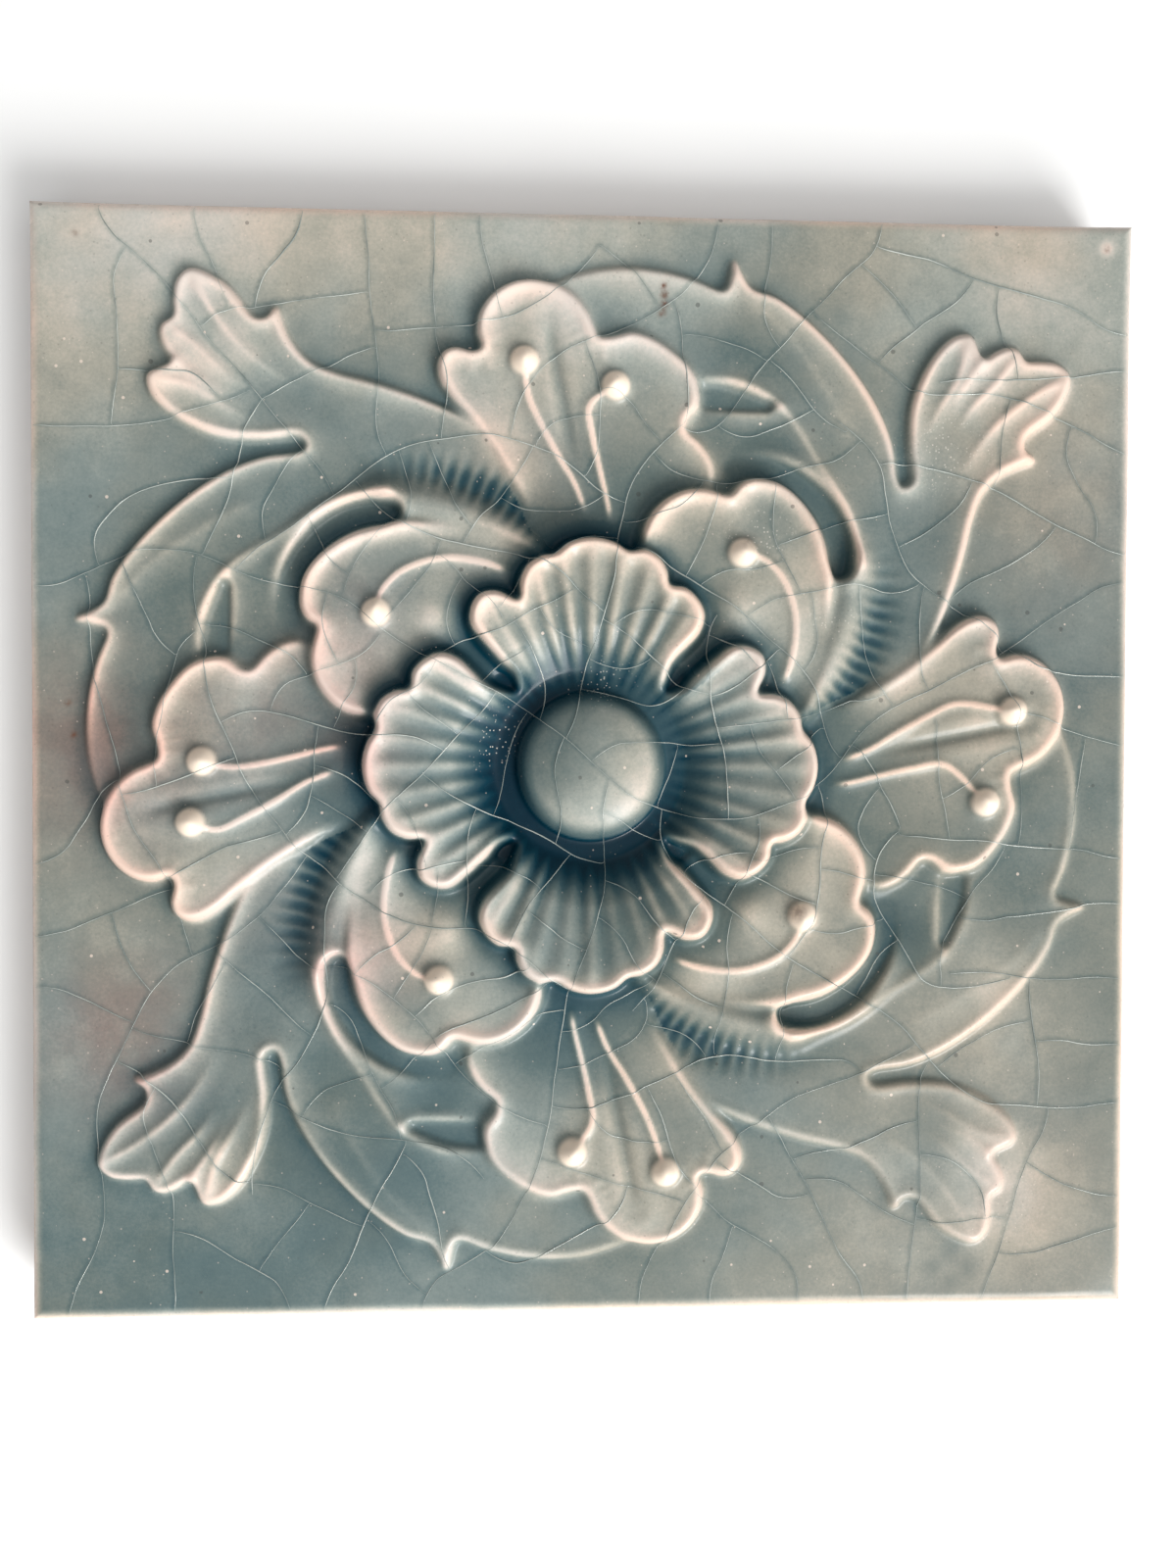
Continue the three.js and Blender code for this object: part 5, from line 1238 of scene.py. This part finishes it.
def clay_material(clay, look):
    """Bare pressed clay with a few runs of glaze down its sides and traces of mortar at its back."""
    made, tree, shader, place = new_material("bare_clay", IOR=1.45)
    grain = clay_grain(tree, place, clay, SIDE_STAIN)
    level = coordinate(tree, place, "Z")
    flat = add(tree, "ShaderNodeVectorMath", {0: place, 1: (1, 1, 0)}, operation="MULTIPLY").outputs[0]
    reach = mapped(tree, noise(tree, flat, *SIDE_RUN_NOISE), *SIDE_RUN_SPAN, *SIDE_RUN_ENDS)
    run = mapped(tree, math_node(tree, "SUBTRACT", level, reach), 0.0, SIDE_RUN_EDGE)
    tone_noise = noise(tree, place, *SIDE_RUN_TONE_NOISE)
    glaze = mixed(tree, tone_noise, opaque(look.film), opaque(look.deep_ground))
    colour = mixed(tree, run, grain["Colour"], glaze)
    dust = times(tree, specks(tree, place, *SIDE_SPECKS), SIDE_SPECK_STRENGTH)
    colour = mixed(tree, dust, colour, opaque(clay.mortar))
    near_back = mapped(tree, level, *MORTAR_LEVELS, 1.0, 0.0)
    mortar = times(tree, mapped(tree, noise(tree, place, *MORTAR_NOISE), *MORTAR_SPAN), near_back)
    colour = mixed(tree, times(tree, mortar, MORTAR_STRENGTH), colour, opaque(clay.mortar))
    height = math_node(tree, "ADD", grain["Height"], times(tree, mortar, MORTAR_HEIGHT))
    rough = mapped(tree, run, 0, 1, *SIDE_ROUGHNESS)
    link_surface(tree, shader, colour, rough, (height, *CLAY_BUMP))
    return made


MATERIALS = {}


def material(name):
    """A finish of the tile, built once."""
    scene = bpy.context.scene
    makers = {
        "glazed": lambda: glazed_material(scene.tile_glaze, scene.tile_clay),
        "crack": lambda: crack_material(scene.tile_glaze),
        "clay": lambda: clay_material(scene.tile_clay, scene.tile_glaze),
    }
    if name not in MATERIALS:
        MATERIALS[name] = makers[name]()
    return MATERIALS[name]


# Geometry node trees

def geometry_tree(name, inputs):
    """An empty geometry tree with named inputs, its input node and its output node."""
    tree = bpy.data.node_groups.new(name, "GeometryNodeTree")
    tree.interface.new_socket("Geometry", in_out="INPUT", socket_type="NodeSocketGeometry")
    for label, kind in inputs:
        tree.interface.new_socket(label, in_out="INPUT", socket_type=kind)
    tree.interface.new_socket("Geometry", in_out="OUTPUT", socket_type="NodeSocketGeometry")
    return tree, tree.nodes.new("NodeGroupInput").outputs, tree.nodes.new("NodeGroupOutput").inputs[0]


def finished(tree, geometry, finish, out):
    """Ends a tree: instances made real, then the material set."""
    real = add(tree, "GeometryNodeRealizeInstances", {"Geometry": geometry})
    done = add(tree, "GeometryNodeSetMaterial", {"Geometry": real.outputs[0], "Material": finish})
    tree.links.new(done.outputs[0], out)


def grown(name, source, tree, values):
    """The plain mesh that a geometry tree makes from a source mesh."""
    carrier = bpy.data.objects.new(name + "_source", source)
    bpy.context.scene.collection.objects.link(carrier)
    modifier = carrier.modifiers.new("shape", "NODES")
    modifier.node_group = tree
    for item in tree.interface.items_tree:
        if item.in_out == "INPUT" and item.name in values:
            modifier[item.identifier] = values[item.name]
    bpy.context.view_layer.update()
    evaluated = carrier.evaluated_get(bpy.context.evaluated_depsgraph_get())
    mesh = bpy.data.meshes.new_from_object(evaluated)
    mesh.name = name
    carrier.modifiers.remove(modifier)
    bpy.data.objects.remove(carrier)
    return mesh


def key_groove_tree():
    """Cuts a row of dovetail grooves into the underside of a slab."""
    number, length = "NodeSocketInt", "NodeSocketFloat"
    tree, given, out = geometry_tree("Keyed back", [
        ("Groove count", number), ("Pitch", length), ("Mouth", length), ("Root", length), ("Depth", length),
        ("Length", length), ("Finish", "NodeSocketMaterial"),
    ])
    cube = add(tree, "GeometryNodeMeshCube", {"Size": (1, 1, 1)})
    place = add(tree, "GeometryNodeInputPosition").outputs[0]
    corner = add(tree, "ShaderNodeSeparateXYZ", {"Vector": place})
    upper = math_node(tree, "GREATER_THAN", corner.outputs["Z"], 0.0)
    taper = math_node(tree, "SUBTRACT", given["Root"], given["Mouth"])
    low_width = math_node(tree, "SUBTRACT", given["Mouth"], taper)
    width = mapped(tree, upper, 0, 1, low_width, given["Root"])
    level = mapped(tree, upper, 0, 1, times(tree, given["Depth"], -1.0), given["Depth"])
    shaped = add(tree, "ShaderNodeCombineXYZ", {
        "X": times(tree, corner.outputs["X"], given["Length"]),
        "Y": times(tree, corner.outputs["Y"], width),
        "Z": level,
    }).outputs[0]
    prism = add(tree, "GeometryNodeSetPosition", {"Geometry": cube.outputs["Mesh"], "Position": shaped})
    steps = math_node(tree, "SUBTRACT", given["Groove count"], 1.0)
    row = add(tree, "GeometryNodeMeshLine", {
        "Count": given["Groove count"],
        "Start Location": add(tree, "ShaderNodeCombineXYZ", {
            "Y": times(tree, times(tree, steps, given["Pitch"]), -0.5)}).outputs[0],
        "Offset": add(tree, "ShaderNodeCombineXYZ", {"Y": given["Pitch"]}).outputs[0],
    })
    grooves = add(tree, "GeometryNodeInstanceOnPoints", {
        "Points": row.outputs[0], "Instance": prism.outputs[0]})
    real = add(tree, "GeometryNodeRealizeInstances", {"Geometry": grooves.outputs[0]})
    cut = add(tree, "GeometryNodeMeshBoolean", {
        "Mesh 1": given["Geometry"], "Mesh 2": real.outputs[0]}, operation="DIFFERENCE", solver="EXACT")
    finished(tree, cut.outputs["Mesh"], given["Finish"], out)
    return tree


def thread_tree():
    """Lays a thin round thread along every line, as wide as the line's own width says."""
    tree, given, out = geometry_tree("Threads along lines", [
        ("Radius", "NodeSocketFloat"), ("Sides", "NodeSocketInt"), ("Finish", "NodeSocketMaterial"),
    ])
    lines = add(tree, "GeometryNodeMeshToCurve", {"Mesh": given["Geometry"]})
    profile = add(tree, "GeometryNodeCurvePrimitiveCircle", {
        "Resolution": given["Sides"], "Radius": given["Radius"]})
    width = add(tree, "GeometryNodeInputNamedAttribute", {"Name": "width"}, data_type="FLOAT")
    tube = add(tree, "GeometryNodeCurveToMesh", {
        "Curve": lines.outputs[0], "Profile Curve": profile.outputs["Curve"], "Scale": width.outputs[0],
        "Fill Caps": True})
    smooth = add(tree, "GeometryNodeSetShadeSmooth", {"Geometry": tube.outputs[0]})
    finished(tree, smooth.outputs[0], given["Finish"], out)
    return tree


# Crazing

def wanted_gap(points, sizes):
    """How far from any line a point of the glaze may lie: fields are smaller towards the rosette."""
    far_out = ease(*FIELD_GROWS, np.linalg.norm(points, axis=1))
    small, large = sizes.field_small / MM, sizes.field_large / MM
    return small + (large - small) * far_out


def crack_lines(sizes):
    """Crazing grown line by line: each starts in the widest field and runs until it meets another."""
    rng = np.random.default_rng(sizes.seed)
    inner = HALF_SIDE - CRACK_BORDER
    run = np.arange(-inner, inner, EDGE_STEP)
    sides = [np.stack([run, np.full_like(run, s)], axis=1) for s in (-inner, inner)]
    laid = np.vstack(sides + [side[:, ::-1] for side in sides])
    lines = []
    while len(lines) < sizes.most_lines:
        spots = rng.uniform(-inner, inner, (CRACK_SPOTS, 2))
        gaps = np.array([np.linalg.norm(laid[::2] - spot, axis=1).min() for spot in spots])
        want = wanted_gap(spots, sizes)
        best = np.argmax(gaps / want)
        if gaps[best] < want[best]:
            break
        towards = laid[np.linalg.norm(laid - spots[best], axis=1).argmin()] - spots[best]
        heading = math.atan2(towards[1], towards[0]) + rng.normal(0, START_SWING)
        ways = []
        for turn in (0, math.pi):
            longest = rng.uniform(*BROKEN_LENGTHS) if rng.random() < sizes.broken_share else FAR * 2
            ways.append(crack_way(spots[best], heading + turn, laid, inner, longest, rng))
        line = np.vstack([ways[0][::-1], ways[1][1:]])
        lines.append(line)
        laid = np.vstack([laid, line])
    return [line for line in lines if spaced(line, CRACK_STEP)[1][-1] > SHORTEST_CRACK]


def spaced(line, step):
    """Points an even step apart along a line, and how far along it each lies."""
    runs = np.cumsum([0, *np.linalg.norm(np.diff(line, axis=0), axis=1)])
    at = np.arange(0, max(runs[-1], 2 * step), step)
    return np.stack([np.interp(at, runs, line[:, n]) for n in range(2)], axis=1), at


def crack_way(start, heading, laid, limit, longest, rng):
    """One way of a crack from its start: a wandering run that bends to meet the next line squarely."""
    points = [start]
    bend = rng.normal(0, START_BEND)
    for _ in range(int(longest / CRACK_STEP)):
        bend = BEND_KEPT * bend + rng.normal(0, BEND_CHANGE)
        heading += bend + rng.normal(0, WANDER)
        here = points[-1]
        offsets = laid - here
        gaps = np.linalg.norm(offsets, axis=1)
        near = gaps.argmin()
        if gaps[near] < EDGE_STEP:
            points.append(laid[near])
            break
        if gaps[near] < MEETING_REACH:
            wanted = math.atan2(offsets[near][1], offsets[near][0])
            swing = math.remainder(wanted - heading, 2 * math.pi)
            if abs(swing) < MEETING_SWING:
                heading += MEETING_PULL * swing
        step = here + CRACK_STEP * np.array([math.cos(heading), math.sin(heading)])
        if np.abs(step).max() > limit:
            break
        points.append(step)
    return np.array(points)


def crack_source(face, sizes):
    """The crazing's lines laid on the glazed surface, as edges with a width at each point."""
    rng = np.random.default_rng(sizes.seed + 1)
    points, edges, widths = [], [], []
    for line in face.cracks:
        flat, at = spaced(line, face.grid.pitch * THREAD_STEPS)
        level = face.grid.sampled(face.level, flat)
        first = sum(len(p) for p in points)
        points.append(np.column_stack([flat, level]))
        edges.extend((first + i, first + i + 1) for i in range(len(at) - 1))
        taper = np.minimum(ease(0, THREAD_TAPER, at), ease(0, THREAD_TAPER, at[-1] - at))
        wave = np.sin(at * rng.uniform(*THREAD_SWELL_RATES) + rng.uniform(*THREAD_SWELL_STARTS))
        swell = 1 - THREAD_SWELL + THREAD_SWELL * wave
        widths.append(at_least(THREAD_END_SHARE, taper) * swell * rng.uniform(*THREAD_WIDTHS))
    mesh = bpy.data.meshes.new("crazing_lines")
    mesh.from_pydata((np.vstack(points) * MM).tolist(), edges, [])
    mesh.attributes.new("width", "FLOAT", "POINT").data.foreach_set("value", np.concatenate(widths))
    return mesh


# Clay body

def slab_mesh(rng, unevenness):
    """A slab with a bevelled foot, softened corners and slightly uneven pressed sides."""
    run = np.linspace(-1, 1, SIDE_STEPS, endpoint=False)
    ring = np.vstack([np.stack([run, -np.ones(SIDE_STEPS)], axis=1) @ turn for turn in quarter_turns()])
    count = len(ring)
    at = np.arange(count)
    around = at / count * 2 * math.pi
    corner = at % SIDE_STEPS == 0
    vertices = []
    for level in SIDE_LEVELS:
        phases = rng.uniform(0, 2 * math.pi, SIDE_WAVES)
        sway = sum(np.sin(3 * (n + 2) * around + phase) for n, phase in enumerate(phases)) / SIDE_WAVES
        bevel = BACK_BEVEL * max(0, 1 - level / BACK_BEVEL) ** BEVEL_ROUNDNESS
        xy = ring * (HALF_SIDE - unevenness * (0.5 + 0.5 * sway) - bevel)[:, None]
        xy[corner] -= np.sign(xy[corner]) * CORNER_SOFTENING
        vertices.append(np.column_stack([xy, np.full(count, level)]))
    low = np.stack([at, (at + 1) % count], axis=1)
    band = np.hstack([low, low[:, ::-1] + count])
    storeys = range(len(SIDE_LEVELS) - 1)
    sides = np.vstack([band + n * count for n in storeys])
    foot = at[::-1][None, :]
    top = at[None, :] + len(storeys) * count
    return new_mesh("slab", np.vstack(vertices) * MM, [sides, foot, top])


def quarter_turns():
    """Turns of a row vector by 0 to 3 quarters, anticlockwise."""
    turn = np.array([[0, 1], [-1, 0]])
    return [np.linalg.matrix_power(turn, n) for n in QUARTERS]


# Settings

def length(name, text, default):
    """A length that a user may change, its default in millimetres."""
    return FloatProperty(
        name=name, description=text, default=default * MM, min=0, unit="LENGTH", precision=5)


def share(name, text, default):
    """A strength or a part of a whole that a user may change."""
    return FloatProperty(name=name, description=text, default=default, min=0, max=2, subtype="FACTOR")


def whole(name, text, default):
    """A count or a seed that a user may change."""
    return IntProperty(name=name, description=text, default=default, min=1)


def tone(name, text, *screen):
    """A colour that a user may change, its default from 0 to 255 as a screen shows it."""
    return FloatVectorProperty(
        name=name, description=text, default=linear(*screen), size=3, min=0, max=1, subtype="COLOR")


class TileFace(bpy.types.PropertyGroup):
    grid_pitch: length("Surface pitch", "Distance between the surface's points", 0.25)
    seed: whole("Seed", "Picks the glaze's small unevenness", 7)


class TileBack(bpy.types.PropertyGroup):
    groove_count: whole("Grooves", "Number of key grooves", 8)
    groove_pitch: length("Groove pitch", "Distance from groove to groove", 17)
    groove_mouth: length("Groove mouth", "Width of a groove at the back face", 6.5)
    groove_root: length("Groove root", "Width of a groove at its bottom", 8)
    groove_depth: length("Groove depth", "Depth of a groove", 1.8)
    border: length("Border", "Flat border left at the grooves' ends", 7)
    unevenness: length("Side unevenness", "How far the pressed sides wander", 0.14)


class TileCrazing(bpy.types.PropertyGroup):
    field_small: length("Small field", "Half width of the crazed fields at the rosette", 3.2)
    field_large: length("Large field", "Half width of the crazed fields at the corners", 5.2)
    thread_radius: length("Line radius", "Radius of a crazed line", 0.1)
    thread_sides: whole("Line sides", "Sides of a crazed line's section, 3 or more", 4)
    broken_share: share("Broken lines", "Share of lines that stop short", 0.22)
    most_lines: whole("Most lines", "Upper limit of lines", 360)
    seed: whole("Seed", "Picks the crazing's lines", 11)


class TileGlaze(bpy.types.PropertyGroup):
    crest: tone("Crest", "Glaze so thin that the clay shows", 238, 218, 203)
    thin: tone("Thin", "Thin glaze beside the crests", 208, 199, 186)
    film: tone("Film", "Glaze on the raised fields", 170, 171, 160)
    ground: tone("Ground", "Glaze on the flat ground", 138, 145, 138)
    deep_ground: tone("Deep ground", "Glaze in shallow hollows", 100, 116, 114)
    hollow: tone("Hollow", "Glaze in deep hollows", 58, 84, 90)
    pool: tone("Pool", "Pooled glaze", 8, 54, 68)
    deepest: tone("Deepest", "Deepest pooled glaze", 0, 38, 52)
    anther: tone("Anther", "Pale glaze on the anthers", 250, 232, 212)
    crack: tone("Crazed line", "Clean crazed line", 192, 197, 190)
    crack_grime: tone("Grimed line", "Crazed line that holds grime", 128, 138, 134)
    speck: tone("Speck", "Small dark speck in the glaze", 70, 72, 70)
    # Painted veil of reflected light, multiplied over the glaze towards the right
    right_tint: tone("Right side tint", "Multiplied over the glaze towards the right", 244, 238, 232)
    cool_tint: tone("Cool tint", "Multiplied over the glaze in cool clouds", 238, 246, 252)
    warm_tint: tone("Warm tint", "Multiplied over the glaze in warm clouds", 255, 248, 244)
    # Painted pink reflection, multiplied over the glaze in patches
    blush: tone("Blush", "Multiplied over the glaze where it broke to pink", 255, 216, 214)
    rust: tone("Rust", "Brown marks of the firing", 104, 70, 54)
    dust: tone("Dust", "Pale dust in the glaze", 236, 228, 216)


class TileClay(bpy.types.PropertyGroup):
    clay: tone("Clay", "Bare pressed clay", 214, 192, 176)
    stain: tone("Stain", "Stain in the clay", 150, 120, 100)
    mortar: tone("Mortar", "Traces of mortar on the back", 205, 203, 198)


class TileStudio(bpy.types.PropertyGroup):
    window_level: share("Window light", "Light from the large window at the lower right", 0.5)
    sky_level: share("Sky light", "Strength of the soft bright patches round the room", 1.0)
    room_level: share("Room light", "Even light from the room", 0.25)
    floor: tone("Floor", "Colour of the floor", 252, 252, 251)


def build_patch(name, scene, cells, slot, replaced):
    """One glazed piece of the face."""
    mesh = patch_mesh(name, glazed_face(scene), cells)
    mesh.materials.append(material("glazed"))
    placed(name, mesh, slot, replaced)


def build_ornament(kind, places, scene, replaced):
    """Like pieces of the ornament round the tile, one for each place."""
    for place in places:
        name = kind + place
        build_patch(name, scene, glazed_face(scene).cells(name), RELIEF_SLOT, replaced.format(place))
    return {"FINISHED"}


class RELIEF_TILE_OT_ground(bpy.types.Operator):
    """Builds the flat glazed ground round the ornament, in four quarters"""
    bl_idname = "relief_tile.ground"
    bl_label = "Build the ground"

    def execute(self, context):
        face = glazed_face(context.scene)
        middle = face.grid.axis[:-1] + face.grid.pitch / 2
        for corner in CORNERS:
            in_rows = (middle > 0) == corner.startswith("north")
            in_cols = (middle > 0) == corner.endswith("east")
            cells = face.cells("ground") & in_rows[:, None] & in_cols[None, :]
            build_patch("ground_" + corner, context.scene, cells, "ground_glaze", "ground_glaze")
        return {"FINISHED"}


class RELIEF_TILE_OT_scrolls(bpy.types.Operator):
    """Builds the four leafy scrolls"""
    bl_idname = "relief_tile.scrolls"
    bl_label = "Build the scrolls"

    def execute(self, context):
        return build_ornament("scroll_", CORNERS, context.scene, "leaf_eye_glaze_{}")


class RELIEF_TILE_OT_trumpets(bpy.types.Operator):
    """Builds the four trumpet flowers with their stamens"""
    bl_idname = "relief_tile.trumpets"
    bl_label = "Build the trumpet flowers"

    def execute(self, context):
        return build_ornament("trumpet_", FLOWER_SIDES, context.scene, "biscuit_body")


class RELIEF_TILE_OT_buds(bpy.types.Operator):
    """Builds the four half-open buds with their stamens"""
    bl_idname = "relief_tile.buds"
    bl_label = "Build the buds"

    def execute(self, context):
        return build_ornament("bud_", CORNERS, context.scene, "bud_slit_glaze_{}")


class RELIEF_TILE_OT_rosette(bpy.types.Operator):
    """Builds the fluted rosette with its boss and the pool of glaze between them"""
    bl_idname = "relief_tile.rosette"
    bl_label = "Build the rosette"

    def execute(self, context):
        return build_ornament("rosette", [""], context.scene, "cup_glaze")


class RELIEF_TILE_OT_crazing(bpy.types.Operator):
    """Builds the fine crazed lines that stand in the glaze"""
    bl_idname = "relief_tile.crazing"
    bl_label = "Build the crazing"

    def execute(self, context):
        sizes = context.scene.tile_crazing
        source = crack_source(glazed_face(context.scene), sizes)
        mesh = grown("crazing", source, thread_tree(), {
            "Radius": sizes.thread_radius, "Sides": sizes.thread_sides, "Finish": material("crack")})
        placed("crazing", mesh, "ground_glaze")
        return {"FINISHED"}


class RELIEF_TILE_OT_body(bpy.types.Operator):
    """Builds the pressed clay body with its keyed back"""
    bl_idname = "relief_tile.body"
    bl_label = "Build the clay body"

    def execute(self, context):
        sizes = context.scene.tile_back
        slab = slab_mesh(np.random.default_rng(context.scene.tile_face.seed), sizes.unevenness / MM)
        mesh = grown("clay_body", slab, key_groove_tree(), {
            "Groove count": sizes.groove_count, "Pitch": sizes.groove_pitch, "Mouth": sizes.groove_mouth,
            "Root": sizes.groove_root, "Depth": sizes.groove_depth,
            "Length": TILE_SIDE * MM - 2 * sizes.border, "Finish": material("clay")})
        placed("clay_body", mesh, RELIEF_SLOT, "biscuit_body")
        return {"FINISHED"}


# Stage

def soft_light(name, at, side, level, target):
    """A square light that by itself lights the tile to a level, where 1 shows a colour as it is written."""
    lamp = bpy.data.lights.new(name, "AREA")
    lamp.shape = "SQUARE"
    lamp.size = side
    place, aim = Vector(at), Vector(target)
    away = place - aim
    lamp.energy = level * LIGHT_LEVEL * away.length_squared * away.length / away.z
    lit = bpy.data.objects.new(name, lamp)
    lit.matrix_world = Matrix.Translation(place) @ away.to_track_quat("Z", "Y").to_matrix().to_4x4()
    bpy.context.scene.collection.objects.link(lit)


def room_light(look):
    """Even light from the room with soft bright patches, plain white where the camera sees it."""
    world = bpy.data.worlds.new("studio")
    world.use_nodes = True
    tree = world.node_tree
    shine = tree.nodes["Background"]
    shine.inputs["Color"].default_value = (1, 1, 1, 1)
    direction = add(tree, "ShaderNodeTexCoord").outputs["Generated"]
    around = look.room_level
    for aim, inner, outer, brightness in SKY_PATCHES:
        towards = Vector(aim).normalized()
        facing = add(tree, "ShaderNodeVectorMath", {0: direction, 1: towards}, operation="DOT_PRODUCT")
        edges = (math.cos(math.radians(angle)) for angle in (outer, inner))
        patch = mapped(tree, facing.outputs["Value"], *edges, 0.0, brightness * look.sky_level, smooth=True)
        around = math_node(tree, "ADD", around, patch)
    seen = add(tree, "ShaderNodeLightPath").outputs["Is Camera Ray"]
    unseen = math_node(tree, "SUBTRACT", 1.0, seen)
    tree.links.new(math_node(tree, "MULTIPLY_ADD", around, unseen, seen), shine.inputs["Strength"])
    return world


def studio_floor(colour):
    """A pale floor under the tile."""
    square = ((-1, -1), (1, -1), (1, 1), (-1, 1))
    mesh = bpy.data.meshes.new("floor")
    mesh.from_pydata([(x * FLOOR_REACH, y * FLOOR_REACH, 0) for x, y in square], [], [(0, 1, 2, 3)])
    made, tree, shader, place = new_material("floor", Roughness=FLOOR_ROUGHNESS)
    darker = opaque([FLOOR_DARKER * c for c in colour])
    shade = mixed(tree, noise(tree, place, *FLOOR_NOISE), opaque(colour), darker)
    tree.links.new(shade, shader.inputs["Base Color"])
    mesh.materials.append(made)
    floor = bpy.data.objects.new("floor", mesh)
    bpy.context.scene.collection.objects.link(floor)


def photo_camera():
    """The camera that sees the tile as the photograph does: close above, leaning a little."""
    pitch, roll, turn = (math.radians(angle) for angle in CAMERA_ANGLES)
    facing = Matrix.Rotation(pitch, 3, "X") @ Matrix.Rotation(roll, 3, "Y") @ Matrix.Rotation(turn, 3, "Z")
    across, up, back = CAMERA_SHIFT
    place = -(facing.transposed() @ Vector((across, up, -back))) + Vector((0, 0, CAMERA_LEVEL))
    lens = bpy.data.cameras.new("camera")
    lens.sensor_fit = "VERTICAL"
    lens.sensor_height = CAMERA_SENSOR
    lens.lens = CAMERA_LENS
    lens.clip_start = MM
    camera = bpy.data.objects.new("camera", lens)
    camera.matrix_world = Matrix.Translation(place * MM) @ facing.transposed().to_4x4()
    bpy.context.scene.collection.objects.link(camera)
    bpy.context.scene.camera = camera


class RELIEF_TILE_OT_stage(bpy.types.Operator):
    """Builds the floor, the lights and the camera"""
    bl_idname = "relief_tile.stage"
    bl_label = "Build the stage"

    def execute(self, context):
        scene, look = context.scene, context.scene.tile_studio
        studio_floor(look.floor)
        soft_light("window", WINDOW_AT, WINDOW_SIDE, look.window_level, (0, 0, SLAB_THICKNESS * MM))
        scene.world = room_light(look)
        scene.view_settings.view_transform = "Standard"
        photo_camera()
        return {"FINISHED"}


class RELIEF_TILE_PT_panel(bpy.types.Panel):
    """Sizes, colours and building steps of the relief tile"""
    bl_label = "Relief tile"
    bl_idname = "RELIEF_TILE_PT_panel"
    bl_space_type = "VIEW_3D"
    bl_region_type = "UI"
    bl_category = "Relief tile"

    def draw(self, context):
        for name, kind in SETTINGS.items():
            box = self.layout.box()
            box.label(text=name.replace("_", " ").capitalize())
            for setting in kind.__annotations__:
                box.prop(getattr(context.scene, name), setting)
        for step in STEPS:
            self.layout.operator(step.bl_idname)


SETTINGS = {
    "tile_face": TileFace,
    "tile_back": TileBack,
    "tile_crazing": TileCrazing,
    "tile_glaze": TileGlaze,
    "tile_clay": TileClay,
    "tile_studio": TileStudio,
}
STEPS = (
    RELIEF_TILE_OT_body,
    RELIEF_TILE_OT_ground,
    RELIEF_TILE_OT_scrolls,
    RELIEF_TILE_OT_trumpets,
    RELIEF_TILE_OT_buds,
    RELIEF_TILE_OT_rosette,
    RELIEF_TILE_OT_crazing,
    RELIEF_TILE_OT_stage,
)


def register():
    for kind in (*SETTINGS.values(), *STEPS, RELIEF_TILE_PT_panel):
        bpy.utils.register_class(kind)
    for name, kind in SETTINGS.items():
        setattr(bpy.types.Scene, name, PointerProperty(type=kind))


def unregister():
    for name in SETTINGS:
        delattr(bpy.types.Scene, name)
    for kind in (RELIEF_TILE_PT_panel, *reversed(STEPS), *reversed(SETTINGS.values())):
        bpy.utils.unregister_class(kind)


def main():
    """Builds the whole tile and its stage."""
    register()
    for step in STEPS:
        group_name, step_name = step.bl_idname.split(".")
        getattr(getattr(bpy.ops, group_name), step_name)()


if __name__ == "__main__":
    main()
